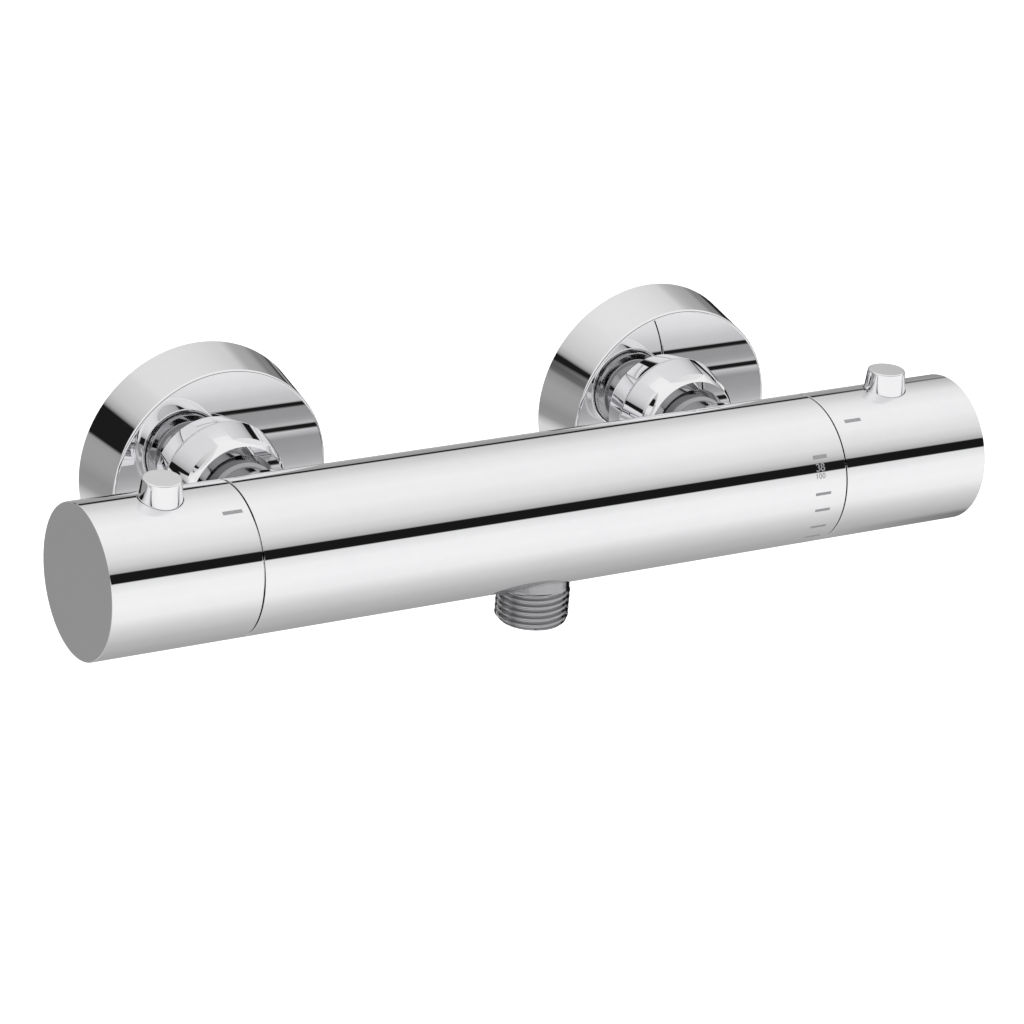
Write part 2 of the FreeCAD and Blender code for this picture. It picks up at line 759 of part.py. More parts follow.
def headwork_spindle():
    """Brass spindle: two-lobed driver on the moving disc, bearing, and a splined end."""
    driver = -headwork_depth + seat_seal_thickness + 2 * disc_thickness + 2 * seal_gap
    top = driver + driver_thickness
    rim = headwork_chamber_radius - 2 * running
    bearing = -headwork_depth + seat_seal_thickness + 3 * disc_thickness + driver_thickness + 2.0
    spindle = FLOW.turned([(driver, 0), (driver, rim), (top, rim), (top, headwork_neck_radius),
                           (bearing - 1.0, headwork_neck_radius), (bearing - 1.0, journal_radius)]
                          + spindle_head(FLOW))
    first, last = FLOW.span(driver - 1, top + 1)
    middle = 180 - disc_port_angle / 2
    for half in (0, 180):
        spindle = spindle.cut(sector(headwork_neck_radius, headwork_chamber_radius + 1, first, last,
                                     middle + half, middle + half + disc_port_angle))
    first, last = FLOW.span(driver - driver_tongue_length, driver + 0.5)
    for angle in (90, 270):
        spindle = spindle.fuse(radial_slot(first, last, driver_tongue_width, disc_port_outer, rim - 0.3,
                                           angle))
    return finish_spindle(FLOW, spindle)


def moving_disc(start, first_angle):
    """Turning ceramic disc, notched for the driver's tongues."""
    body = ceramic_disc(start, first_angle)
    end = start + disc_thickness
    first, last = FLOW.span(end - driver_tongue_length - seal_gap, end + 1)
    for angle in (90, 270):
        body = body.cut(radial_slot(first, last, driver_tongue_width + 2 * running, disc_port_outer - running,
                                    headwork_chamber_radius + 1, angle))
    return FLOW.at_rest(body)


def spindle_clip(end):
    """Retaining ring that keeps the spindle in its bearing, open at one side."""
    ring = end.disc(hex_end + 2 * seal_gap, hex_end + 2 * seal_gap + clip_thickness, clip_radius,
                    journal_radius - 0.6 + seal_gap)
    start, stop = end.span(hex_end - 1, hex_end + clip_thickness + 1)
    return end.at_rest(ring.cut(radial_slot(start, stop, 4.0, 1.0, clip_radius + 2, 270)))


def seat_seal():
    """Rubber ring that the fixed disc presses on the body's seat."""
    return FLOW.disc(-headwork_depth + seal_gap, -headwork_depth + seat_seal_thickness - seal_gap,
                     headwork_body_radius, seat_port_radius)


# ---------------------------------------------------------------- thermostatic cartridge

def cartridge_nut():
    """Brass head of the cartridge, screwed in the body: it carries the adjusting spindle."""
    recess = spindle_flange_radius + 4 * running
    nut = TEMPERATURE.turned([(-cartridge_thread_length + seal_gap, recess),
                              (-cartridge_thread_length + seal_gap, cartridge_thread_radius),
                              (0, cartridge_thread_radius), (0, bearing_radius),
                              (-nut_web, bearing_radius), (-nut_web, recess)])
    head = hexagon(hex_across_flats, *TEMPERATURE.span(-1.0, hex_end))
    bore = TEMPERATURE.disc(-nut_web, hex_end + 1, bearing_radius)
    return nut.fuse(head.cut(bore)).removeSplitter()


def cartridge_spindle():
    """Adjusting spindle: lead screw inside, journal in the nut, splined end for the handle."""
    tip = slider_spring_top + 0.3
    flange = slider_outer_end + 1.4
    shoulder = -nut_web - running
    spindle = TEMPERATURE.turned([(tip, 0), (tip, lead_screw_radius), (flange, lead_screw_radius),
                                  (flange, spindle_flange_radius), (shoulder, spindle_flange_radius),
                                  (shoulder, journal_radius)] + spindle_head(TEMPERATURE))
    return finish_spindle(TEMPERATURE, spindle)


def cartridge_housing():
    """Outer cartridge body: three lands, a waist at each supply, and the ports at the seats."""
    top = -cartridge_thread_length - seal_gap
    bottom = -hot_seat_depth - lower_ring
    floor = o_ring_section + 0.05
    cold_land = cold_bore_radius - snug
    hot_land = hot_bore_radius - snug
    bore = slider_across_flats / 2
    step = -cold_step - snug
    housing = TEMPERATURE.turned([(top, bore), (top, cold_land), (upper_groove, cold_land),
                                  (upper_groove, cold_land - floor),
                                  (upper_groove - o_ring_groove, cold_land - floor),
                                  (upper_groove - o_ring_groove, cold_land), (top - land_length, cold_land),
                                  (top - land_length, cold_waist_radius), (step, cold_waist_radius),
                                  (step, hot_land), (middle_groove, hot_land),
                                  (middle_groove, hot_land - floor),
                                  (middle_groove - o_ring_groove, hot_land - floor),
                                  (middle_groove - o_ring_groove, hot_land),
                                  (-cold_step - land_length, hot_land),
                                  (-cold_step - land_length, hot_waist_radius), (bottom, hot_waist_radius),
                                  (bottom, shuttle_bore_radius), (-cold_seat_depth, shuttle_bore_radius),
                                  (-cold_seat_depth, bore)])
    housing = housing.cut(hexagon(slider_across_flats + 2 * running,
                                  *TEMPERATURE.span(top + 1, -cold_seat_depth - 1)))
    for seat in (-cold_seat_depth, -hot_seat_depth):
        start, end = TEMPERATURE.span(seat - port_length / 2, seat + port_length / 2)
        for port in range(ports):
            housing = housing.cut(radial_slot(start, end, port_width, shuttle_bore_radius - running,
                                              cold_bore_radius + 1, 30 + port * 360 / ports))
    return housing.removeSplitter()


def hot_seat_sleeve():
    """Lower sleeve of the cartridge: hot seat on top, spring shoulder and outlet below."""
    rim = -hot_seat_depth
    joint = rim - lower_ring - snug
    land = -hot_step - snug
    floor = o_ring_section + 0.05
    bottom = -cartridge_depth + 0.5
    groove_end = lower_groove - o_ring_groove
    outer = mixed_bore_radius - snug
    way = wax_body_radius + 1.1
    sleeve = TEMPERATURE.turned([(rim, seat_bore_radius), (rim, shuttle_bore_radius - snug),
                                 (joint, shuttle_bore_radius - snug), (joint, hot_waist_radius),
                                 (land + 1.5, hot_waist_radius), (land + 1.5, outer), (lower_groove, outer),
                                 (lower_groove, outer - floor), (groove_end, outer - floor),
                                 (groove_end, outer),
                                 (bottom, outer), (bottom, way), (spring_shoulder, way),
                                 (spring_shoulder, seat_bore_radius)])
    start, end = TEMPERATURE.span(bottom - 1, spring_shoulder)
    for slot in range(4):
        sleeve = sleeve.cut(radial_slot(start, end, 3.0, wax_body_radius, seat_bore_radius - 0.8,
                                        45 + 90 * slot))
    return sleeve.removeSplitter()


def cartridge_o_rings():
    """Three rubber rings on the lands of the cartridge."""
    places = ((upper_groove, cold_bore_radius), (middle_groove, hot_bore_radius),
              (lower_groove, mixed_bore_radius))
    return Part.makeCompound([o_ring(TEMPERATURE.x(start - o_ring_groove / 2), radius, o_ring_section)
                              for start, radius in places])


def shuttle():
    """Sleeve that throttles hot at one end and cold at the other, with a spoked web."""
    radius = shuttle_bore_radius - running
    bore = radius - shuttle_wall
    near = shuttle_middle - shuttle_groove / 2
    far = shuttle_middle + shuttle_groove / 2
    floor = radius - shuttle_ring_section
    outer = shuttle_inner + shuttle_length
    tube = TEMPERATURE.turned([(shuttle_inner, bore), (shuttle_inner, radius), (near, radius), (near, floor),
                               (far, floor), (far, radius), (outer, radius), (outer, bore)])
    web = TEMPERATURE.disc(web_face - shuttle_web, web_face, bore + 0.2, wax_body_radius + running)
    start, end = TEMPERATURE.span(web_face - shuttle_web - 1, web_face + 1)
    for way in range(4):
        web = web.cut(sector(wax_flange_radius + 0.3, bore - 0.3, start, end, 90 * way + 12, 90 * way + 78))
    return tube.fuse(web).removeSplitter()


def shuttle_ring():
    """Rubber ring round the shuttle, between hot and cold."""
    return o_ring(TEMPERATURE.x(shuttle_middle), shuttle_bore_radius, shuttle_ring_section)


def wax_element():
    """Thermostatic element: body in the mixed water, flange on the shuttle, working pin."""
    face = web_face + seal_gap
    neck = face + wax_flange
    pin = neck + wax_neck
    return TEMPERATURE.turned([(face - wax_body_length, 0), (face - wax_body_length, wax_body_radius - 0.8),
                               (face - wax_body_length + 0.8, wax_body_radius), (face, wax_body_radius),
                               (face, wax_flange_radius), (neck, wax_flange_radius), (neck, wax_neck_radius),
                               (pin, wax_neck_radius), (pin, wax_pin_radius),
                               (plunger_face - seal_gap, wax_pin_radius), (plunger_face - seal_gap, 0)])


def spring_plunger():
    """Plate under the overload spring that rests on the working pin."""
    return TEMPERATURE.disc(plunger_face, plunger_face + plunger_thickness, slider_bore_radius - running)


def plunger_ring():
    """Ring in the slider's mouth that keeps the plunger in."""
    return TEMPERATURE.disc(slider_tail, slider_tail + plunger_ring_thickness, slider_bore_radius - snug,
                            plunger_ring_bore_radius)


def overload_spring():
    """Spring that gives way when the pin travels after the hot side has closed."""
    start, end = TEMPERATURE.span(plunger_face + plunger_thickness + seal_gap, slider_spring_top - seal_gap)
    return coil_spring(start, end, overload_spring_radius, overload_wire, overload_turns)


def adjusting_slider():
    """Hexagonal slider on the lead screw, with the overload spring in its chamber."""
    body = hexagon(slider_across_flats, *TEMPERATURE.span(slider_tail, slider_outer_end))
    body = body.cut(TEMPERATURE.disc(slider_tail - 1, slider_spring_top, slider_bore_radius))
    return body.cut(TEMPERATURE.disc(slider_tail, 0, lead_screw_radius + running))


def return_spring():
    """Spring that holds the shuttle and the wax element against the working pin."""
    start, end = TEMPERATURE.span(spring_shoulder + seal_gap, web_face - shuttle_web - seal_gap)
    return coil_spring(start, end, return_spring_radius, return_wire, return_turns)


# ---------------------------------------------------------------- stop rings and handles

def stop_ring(end, start):
    """Fixed ring on the hexagon: end stops inside, and the tab that the button's latch passes."""
    ring = end.disc(start, hex_end, stop_ring_radius)
    ring = ring.cut(hexagon(hex_across_flats + 2 * running, *end.span(start - 1, hex_end + 1)))
    ring = ring.fuse(end.disc(hex_end - 0.5, stop_ring_end, stop_ring_radius, stop_ring_bore_radius))
    # The finger stands opposite the button and swings from -backward to +forward about X; growing
    # angles round the bar run the other way.
    finger = end.button_angle + 180.0
    half = finger_angle / 2 + stop_play
    first = finger + end.backward + half
    last = finger - end.forward - half + 360.0
    low, high = end.span(stop_finger_start, stop_finger_end)
    ring = ring.fuse(sector(stop_lug_radius, stop_ring_bore_radius + 0.2, low, high, first, last))
    latch_angle = math.degrees(math.asin(latch_half_width / tab_outer_radius))
    tab = end.button_angle - end.latch_turn - latch_angle - tab_angle
    low, high = end.span(stop_finger_start, stop_ring_end)
    ring = ring.fuse(sector(stop_ring_radius - tab_foot, tab_outer_radius, low, high, tab, tab + tab_angle))
    low, high = end.span(stop_ring_end - 1.0, tab_end)
    ring = ring.fuse(sector(tab_inner_radius, tab_outer_radius, low, high, tab, tab + tab_angle))
    return ring.removeSplitter()


def handle_shell(end):
    """Chromed cup that continues the bar, closed at its outer end, with the button's hole."""
    inside = end.handle_end - handle_end_wall
    shell = end.turned([(seam_gap, handle_bore), (seam_gap, bar_radius - edge_break),
                        (seam_gap + edge_break, bar_radius), (end.handle_end - edge_break, bar_radius),
                        (end.handle_end, bar_radius - edge_break), (end.handle_end, 0), (inside, 0),
                        (inside, handle_bore)])
    x = end.x(end.button_station)
    shell = shell.cut(upright(disc(bar_radius / 2, bar_radius + 2, button_radius + button_hole_clearance), x))
    shell = shell.cut(hanging(disc(bar_radius / 2, bar_radius + 2, grub_radius + snug), x))
    return end.at_rest(shell)


def handle_insert(end):
    """Moulded insert: splined hub, web and rim, seat for the button's spring, stop finger."""
    inside = end.handle_end - handle_end_wall - running
    web = end.button_station + button_flange_radius + button_room
    outer = handle_bore - snug
    spindle_end = end.button_station + spline_overhang
    insert = end.disc(hub_start, inside, hub_radius)
    insert = insert.fuse(end.disc(web, web + insert_web, outer))
    insert = insert.fuse(end.disc(web + 1.0, inside, outer, outer - insert_wall))
    start, stop = end.span(tab_end + 1.0, web + 1.0)
    for angle in (0, 180):
        insert = insert.fuse(radial_slot(start, stop, rib_thickness, hub_radius - 1, outer - 0.2, angle))
    x = end.x(end.button_station)
    pad_height = button_flange_bottom - button_travel - running
    insert = insert.fuse(upright(disc(hub_radius / 2, pad_height, pad_radius), x))
    insert = insert.cut(upright(disc(spring_seat_height, pad_height + 1, spring_pocket_radius), x))
    insert = insert.fuse(hanging(disc(hub_radius / 2, outer - 0.8, grub_boss_radius), x))
    start, stop = end.span(stop_finger_start, stop_finger_end)
    insert = insert.fuse(sector(hub_radius - 1, stop_finger_radius, start, stop, 270 - finger_angle / 2,
                                270 + finger_angle / 2))
    teeth = spline(spline_root_radius + snug, spline_tip_radius + snug,
                   *end.span(hub_start - 1, spindle_end + 0.5))
    insert = insert.cut(teeth)
    insert = insert.cut(hanging(disc(spline_root_radius / 2, bar_radius, grub_radius + snug), x))
    return end.at_rest(insert.removeSplitter())


def grub_screw(end):
    """Socket set screw that holds the handle on its spindle, sunk in the underside."""
    x = end.x(end.button_station)
    top = bar_radius - grub_sink
    screw = hanging(disc(spline_tip_radius + snug, top, grub_radius), x)
    socket = hexagon(2.0, top - 2.0, top + 1)
    return end.at_rest(screw.cut(hanging(socket, x)))


def push_button(end):
    """Button: tapered pin through the handle, flange inside it, and the latch towards the body."""
    x = end.x(end.button_station)
    pin = upright(turned([(button_flange_bottom, 0), (button_flange_bottom, button_radius),
                          (bar_radius, button_radius), (button_top - button_edge, button_top_radius),
                          (button_top, button_top_radius - button_edge), (button_top, 0)]), x)
    flange = upright(disc(button_flange_bottom, bar_radius, button_flange_radius), x)
    first, last = end.span(tab_end + seam_gap, end.button_station - button_radius + 1.0)
    latch = Part.makeBox(last - first, 2 * latch_half_width, bar_radius - button_flange_bottom,
                         Vector(first, -latch_half_width, button_flange_bottom))
    inside = disc(x - REACH, x + REACH, latch_top)
    button = pin.fuse(flange.fuse(latch).common(inside))
    pocket = upright(disc(0, spring_pocket_top, spring_pocket_radius), x)
    return end.at_rest(button.cut(pocket).removeSplitter())


def button_spring(end):
    """Spring that lifts the button."""
    x = end.x(end.button_station)
    coil = coil_spring(spring_seat_height + seal_gap, spring_pocket_top - seal_gap, button_spring_radius,
                       button_wire, button_spring_turns)
    return end.at_rest(upright(coil, x))


# ---------------------------------------------------------------- the list of pieces

def both(shape):
    """The same piece on both inlets, as two separate solids."""
    return Part.makeCompound([facing_wall(shape, hot_x), facing_wall(shape, cold_x)])


def pieces():
    """Every node's name and its shape, in the bar's frame."""
    bottom = -headwork_depth + seat_seal_thickness
    quarter = 90 - disc_port_angle / 2
    found = {
        "valve_body": valve_body(),
        "nipple_rings": both(nipple_ring()),
        "inlet_strainers": both(strainer()),
        "union_washers": both(union_washer()),
        "rosette_seals": both(rosette_seal()),
        "outlet_nipple": outlet_nipple(),
        "outlet_seal": outlet_seal(),
        "headwork_housing": headwork_housing(),
        "headwork_spindle": headwork_spindle(),
        "headwork_clip": spindle_clip(FLOW),
        "headwork_o_ring": spindle_ring(FLOW),
        "fixed_disc": ceramic_disc(bottom + seal_gap, quarter),
        "moving_disc": moving_disc(bottom + disc_thickness + 2 * seal_gap, quarter + 90),
        "headwork_seat_seal": seat_seal(),
        "flow_stop_ring": stop_ring(FLOW, headwork_flange + running),
        "flow_handle": handle_shell(FLOW),
        "flow_insert": handle_insert(FLOW),
        "flow_grub_screw": grub_screw(FLOW),
        "eco_button": push_button(FLOW),
        "eco_spring": button_spring(FLOW),
        "cartridge_nut": cartridge_nut(),
        "cartridge_spindle": cartridge_spindle(),
        "cartridge_clip": spindle_clip(TEMPERATURE),
        "cartridge_spindle_ring": spindle_ring(TEMPERATURE),
        "cartridge_housing": cartridge_housing(),
        "hot_seat_sleeve": hot_seat_sleeve(),
        "cartridge_o_rings": cartridge_o_rings(),
        "shuttle": shuttle(),
        "shuttle_ring": shuttle_ring(),
        "wax_element": wax_element(),
        "spring_plunger": spring_plunger(),
        "plunger_ring": plunger_ring(),
        "overload_spring": overload_spring(),
        "adjusting_slider": adjusting_slider(),
        "return_spring": return_spring(),
        "temperature_stop_ring": stop_ring(TEMPERATURE, running),
        "temperature_handle": handle_shell(TEMPERATURE),
        "temperature_insert": handle_insert(TEMPERATURE),
        "temperature_grub_screw": grub_screw(TEMPERATURE),
        "safety_button": push_button(TEMPERATURE),
        "safety_spring": button_spring(TEMPERATURE),
    }
    for side, x, flat_angle in (("hot", hot_x, hot_nut_flat_angle), ("cold", cold_x, cold_nut_flat_angle)):
        found[side + "_inlet_nipple"] = facing_wall(inlet_nipple(), x)
        found[side + "_check_housing"] = facing_wall(check_housing(), x)
        found[side + "_check_poppet"] = facing_wall(check_poppet(), x)
        found[side + "_check_spring"] = facing_wall(check_spring(), x)
        found[side + "_union_nut"] = facing_wall(union_nut(flat_angle), x)
        found[side + "_rosette"] = facing_wall(rosette(), x)
        union = s_union()
        union.translate(Vector(x, 0, 0))
        found[side + "_s_union"] = union
    return found


def write():
    os.makedirs("parts", exist_ok=True)
    to_wall = Vector(0, -wall_distance, union_offset)
    for name, shape in pieces().items():
        placed = shape.copy()
        placed.translate(to_wall)
        if not placed.isValid() or placed.Volume <= 0:
            raise ValueError(name + " is not a valid solid")
        placed.exportStep("parts/" + name + ".step")


write()
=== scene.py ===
import json
import math
import bmesh
import bpy
import numpy as np
from bpy.props import FloatProperty, FloatVectorProperty, IntProperty, PointerProperty
from mathutils import Matrix, Vector


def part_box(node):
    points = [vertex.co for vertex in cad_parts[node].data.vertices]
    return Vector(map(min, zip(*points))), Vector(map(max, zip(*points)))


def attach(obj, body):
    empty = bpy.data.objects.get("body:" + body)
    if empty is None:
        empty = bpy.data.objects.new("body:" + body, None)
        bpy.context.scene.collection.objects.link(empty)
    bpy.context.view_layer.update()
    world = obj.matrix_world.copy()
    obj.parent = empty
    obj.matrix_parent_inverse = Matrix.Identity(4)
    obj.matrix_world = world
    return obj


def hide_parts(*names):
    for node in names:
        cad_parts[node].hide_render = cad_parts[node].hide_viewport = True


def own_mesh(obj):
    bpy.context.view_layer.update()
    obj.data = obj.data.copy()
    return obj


bl_info = {
    "name": "Thermostatic bar valve",
    "version": (1, 0, 0),
    "blender": (4, 5, 0),
    "location": "3D View > Sidebar > Bar valve",
    "description": "Smooth chrome surfaces, threads, scale marks, finishes and a small studio "
                   "for the model of a thermostatic shower valve",
    "category": "Object",
}

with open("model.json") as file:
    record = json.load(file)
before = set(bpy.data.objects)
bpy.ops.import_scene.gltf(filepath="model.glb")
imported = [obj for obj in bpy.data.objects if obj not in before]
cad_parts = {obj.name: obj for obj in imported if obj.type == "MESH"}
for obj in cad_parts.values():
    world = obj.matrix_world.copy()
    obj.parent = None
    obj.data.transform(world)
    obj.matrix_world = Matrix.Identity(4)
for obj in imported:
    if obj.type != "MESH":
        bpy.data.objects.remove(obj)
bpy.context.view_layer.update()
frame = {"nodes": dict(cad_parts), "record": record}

MM = 0.001
COLUMNS = 288                       # round the bar
FINE_COLUMNS = 192                  # round the smaller turned pieces
BACK, UNDER = 180.0, 270.0          # angles round the bar, in degrees: 0 is ahead of it, 90 above

handle_low, handle_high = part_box("flow_handle")
knob_low, knob_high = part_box("temperature_handle")
AXIS = np.array((0.0, (handle_low.y + handle_high.y) / 2, (handle_low.z + handle_high.z) / 2))


# ------------------------------------------------------------------ settings of the model

def length(label, text, value):
    """A length in millimetres as a property of Blender's own unit, the metre."""
    return FloatProperty(name=label, description=text, default=value * MM, min=0.0, unit="LENGTH",
                         precision=5)


def place(label, text, value):
    """A place along an axis, which may be negative."""
    return FloatProperty(name=label, description=text, default=value * MM, unit="LENGTH", precision=5)


def turn(label, text, value):
    return FloatProperty(name=label, description=text, default=math.radians(value), subtype="ANGLE")


def colour(label, text, value):
    return FloatVectorProperty(name=label, description=text, default=value, size=3, min=0.0, max=1.0,
                               subtype="COLOR")


class BarSizes(bpy.types.PropertyGroup):
    radius: length("Radius", "Outer radius of the bar", 21.45)
    edge: length("Edge", "Rounding of the bar's outer edges", 0.35)
    flow_face: place("Hot end", "End face of the valve body at the flow handle", -97.25)
    temperature_face: place("Cold end", "End face of the valve body at the temperature handle", 89.85)
    flow_end: FloatProperty(name="Flow handle end", description="Outer face of the flow handle",
                            default=handle_low.x, unit="LENGTH")
    temperature_end: FloatProperty(name="Temperature handle end", unit="LENGTH",
                                   description="Outer face of the temperature handle", default=knob_high.x)
    seam: length("Seam", "Gap between each handle and the body", 0.4)
    handle_wall: length("Handle wall", "Wall of the handles", 1.8)
    end_wall: length("End wall", "Thickness of the handles' closed ends", 2.2)
    inlet: length("Inlet distance", "Middle of the bar to each inlet", 75.0)
    boss_radius: length("Boss radius", "Radius of the bosses at the inlets", 12.8)
    boss_height: length("Boss height", "Bar axis to the face of the bosses", 25.3)
    boss_fillet: length("Boss fillet", "Rounding between a boss and the bar", 1.0)
    outlet_hole: length("Outlet hole", "Radius of the outlet's hole", 10.13)


class ButtonSizes(bpy.types.PropertyGroup):
    flow_place: place("Flow button", "Place of the button in the flow handle", -119.2)
    temperature_place: place("Temperature button", "Place of the safety button", 116.0)
    flow_angle: turn("Flow button angle", "Angle round the bar, from the front upwards", 86.5)
    temperature_angle: turn("Temperature button angle", "Angle round the bar", 91.0)
    radius: length("Radius", "Radius where the button leaves the bar", 6.0)
    top_radius: length("Top radius", "Radius under the edge of the top", 5.36)
    top: length("Top", "Bar axis to the top of the button", 27.1)
    edge: length("Edge", "Rounding of the top edge", 0.4)
    leave: length("Taper start", "Bar axis to where the button's taper begins", 21.45)
    hole: length("Hole", "Radius of the hole in the handle", 6.15)
    grub_hole: length("Grub screw hole", "Radius of the hole opposite the button", 2.03)
    flange: length("Flange", "Radius of the flange inside the handle", 7.2)
    flange_bottom: length("Flange bottom", "Bar axis to the underside of the flange", 16.4)
    pocket: length("Spring pocket", "Radius of the pocket for the spring", 3.6)
    pocket_top: length("Pocket top", "Bar axis to the top of the spring's pocket", 22.4)
    latch: length("Latch", "Half the width of the latch", 2.4)
    latch_reach: length("Latch reach", "Button's axis to the tip of the latch", 8.0)


class SpringSizes(bpy.types.PropertyGroup):
    button_radius: length("Button spring", "Outer radius of the spring under a button", 3.2)
    button_wire: length("Button wire", "Thickness of the button spring's wire", 0.6)
    button_turns: IntProperty(name="Button turns", description="Turns of a button's spring", default=8)
    button_seat: length("Button seat", "Bar axis to the foot of a button's spring", 10.22)
    button_top: length("Button spring top", "Bar axis to the top of a button's spring", 22.38)
    press: length("Press", "How far a button goes in", 2.3)
    check_wire: length("Check wire", "Thickness of the check valve spring's wire", 0.5)
    check_turns: IntProperty(name="Check turns", description="Turns of a check valve's spring", default=6)
    opening: length("Opening", "How far a check valve opens", 3.0)


class WallSizes(bpy.types.PropertyGroup):
    distance: length("Wall distance", "Bar axis to the finished wall", 66.6)
    rosette_face: length("Rosette face", "Bar axis to the rosette's face", 49.16)
    rosette_front: length("Front radius", "Radius of the rosette at its face", 33.04)
    rosette_back: length("Back radius", "Radius of the rosette at the wall", 35.57)
    rosette_wall: length("Rosette wall", "Thickness of the rosette", 1.5)
    rosette_edge: length("Rosette edge", "Rounding of the rosette's front edge", 0.8)
    nut_base: length("Nut base", "Bar axis to the nut's rear face", 49.11)
    nut_length: length("Nut length", "Length of the union nut", 11.1)
    nut_taper: length("Nut taper", "Length of the nut's smooth cone", 8.6)
    nut_front: length("Nut front radius", "Radius of the nut at its front", 14.6)
    nut_nose: length("Nut nose radius", "Radius of the nut at the foot of its nose", 16.2)
    nut_base_radius: length("Nut base radius", "Radius of the nut at its rear face", 18.1)
    nut_lip_bore: length("Nut lip bore", "Radius of the hole in the nut's lip", 11.05)
    nut_flats: length("Across flats", "Wrench size of the union nut", 30.0)
    hot_nut_turn: turn("Hot nut", "Where the hot nut's flats come to rest", 73.5)
    cold_nut_turn: turn("Cold nut", "Where the cold nut's flats come to rest", 95.0)
    flange_front: length("Neck flange", "Bar axis to the flange of the inlet neck", 39.66)
    flange_radius: length("Flange radius", "Radius of the inlet neck's flange", 11.95)
    flange_thickness: length("Flange thickness", "Thickness of the inlet neck's flange", 1.75)
    union_offset: length("Offset", "Eccentricity of the wall unions", 7.5)
    union_block: length("Block radius", "Radius of the wall union's block", 13.6)
    tail: length("Tail", "Length of the threaded tail in the wall", 15.0)


class ThreadSizes(bpy.types.PropertyGroup):
    radius: length("Major radius", "Radius over the half-inch thread's crests", 10.4775)
    depth: length("Depth", "Depth of the thread", 1.16)
    pitch: length("Pitch", "Pitch of the half-inch thread", 1.814)
    outlet_end: length("Outlet end", "Bar axis to the end of the outlet nipple", 33.1)
    collar_radius: length("Collar radius", "Radius of the nipple's collar", 10.1)
    outlet_bore: length("Outlet bore", "Radius of the outlet's bore", 7.5)


class MarkSizes(bpy.types.PropertyGroup):
    lift: length("Lift", "How far the printed marks stand out", 0.015)
    height: length("Bar height", "Height of a marking bar", 1.15)
    tick_height: length("Tick height", "Height of a scale tick", 0.85)
    digit: length("Digit height", "Height of the scale's digits", 2.1)
    small_digit: length("Small digit height", "Height of the scale's second row of digits", 1.5)
    stroke: length("Stroke", "Width of the digits' strokes", 0.36)
    flow_index: turn("Flow index", "Where the flow handle's index bar stands", 59.6)
    temperature_index: turn("Temperature index", "Where the temperature handle's bar stands", 57.6)


class Finishes(bpy.types.PropertyGroup):
    chrome: colour("Chrome", "Polished chrome plate", (0.905, 0.905, 0.915))
    chrome_worn: colour("Chrome haze", "Chrome under a breath of haze", (0.875, 0.875, 0.89))
    # Satin chrome is partly real and partly painted shade: threads aren't polished, so it is rougher, and its
    # colour is made much darker than polished chrome to paint the shade under the bar and between the union
    # nut and the bar.
    satin_and_shade: colour("Satin chrome", "Chrome on threads, which isn't polished", (0.46, 0.46, 0.47))
    mark: colour("Print", "Grey of the printed marks", (0.30, 0.30, 0.31))
    brass: colour("Brass", "Machined brass", (0.72, 0.53, 0.25))
    steel: colour("Steel", "Bright stainless steel", (0.56, 0.57, 0.58))
    rubber: colour("Rubber", "Black rubber", (0.022, 0.022, 0.023))
    plastic: colour("Plastic", "Dark moulded plastic", (0.085, 0.087, 0.095))
    ceramic: colour("Ceramic", "Lapped ceramic", (0.84, 0.82, 0.77))
    haze: FloatProperty(name="Haze", description="How much the polish varies", default=0.5, min=0, max=1)


class StudioSettings(bpy.types.PropertyGroup):
    lamp: FloatProperty(name="Lamps", description="Power of the soft lamps", default=14.0, unit="POWER")
    surround: FloatProperty(name="Surround", description="Brightness of the studio's walls", default=0.7)
    floor: place("Floor", "Height of the floor", -320.0)
    camera_yaw: turn("Camera yaw", "Turn of the camera to the right", 32.328)
    camera_pitch: turn("Camera pitch", "Tilt of the camera", -22.477)
    camera_roll: turn("Camera roll", "Roll of the camera", 4.641)
    camera_place: FloatVectorProperty(name="Camera place", size=3, subtype="TRANSLATION", unit="LENGTH",
                                      default=(-0.565284, -0.945536, 0.43835),
                                      description="Where the camera stands", precision=5)
    lens: FloatProperty(name="Lens", description="Focal length in millimetres", default=142.05)


GROUPS = (("bar_sizes", BarSizes), ("button_sizes", ButtonSizes), ("spring_sizes", SpringSizes),
          ("wall_sizes", WallSizes), ("thread_sizes", ThreadSizes), ("mark_sizes", MarkSizes),
          ("finishes", Finishes), ("studio", StudioSettings))


# Brightness of the studio's walls by the angle round the bar: 0 is ahead of it, 90 above it. A long
# black flag hangs in front, and behind is the dark edge where the backdrop begins. It is broader on
# the left and fades out on the far right.
FLAG = ((0, 0.96), (14.2, 0.80), (14.9, 0.010), (28.4, 0.010), (29.2, 0.45), (38, 0.65), (50, 0.80),
        (75, 0.93), (100, 0.95), (125, 0.85))
BELOW = ((-172, 0.42), (-164, 0.72), (-155, 0.72), (-143, 0.36), (-115, 0.41), (-85, 0.52), (-60, 0.70),
         (-40, 0.92), (-20, 0.98))
MIDDLE_WALLS = ((-180, 0.37), (-172, 0.42), (-165, 0.60), (-163.5, 0.012), (-156.5, 0.012),
                (-155.5, 0.70), *BELOW[3:], *FLAG, (145, 0.68), (158.5, 0.62), (160.0, 0.012),
                (165.5, 0.012), (167, 0.36), (179.9, 0.37))
LEFT_WALLS = ((-180, 0.37), (-165, 0.36), (-155, 0.30), (-148, 0.32), (-142, 0.72), (-130, 0.80),
              *BELOW[4:], *FLAG, (142, 0.60), (147, 0.40), (149, 0.012), (172.0, 0.012), (174, 0.34),
              (179.9, 0.37))
FAR_LEFT_WALLS = (*LEFT_WALLS[:6], *BELOW[4:], *FLAG, (142, 0.60), (154, 0.50), (158, 0.15), (163, 0.13),
                  (167, 0.30), (179.9, 0.37))
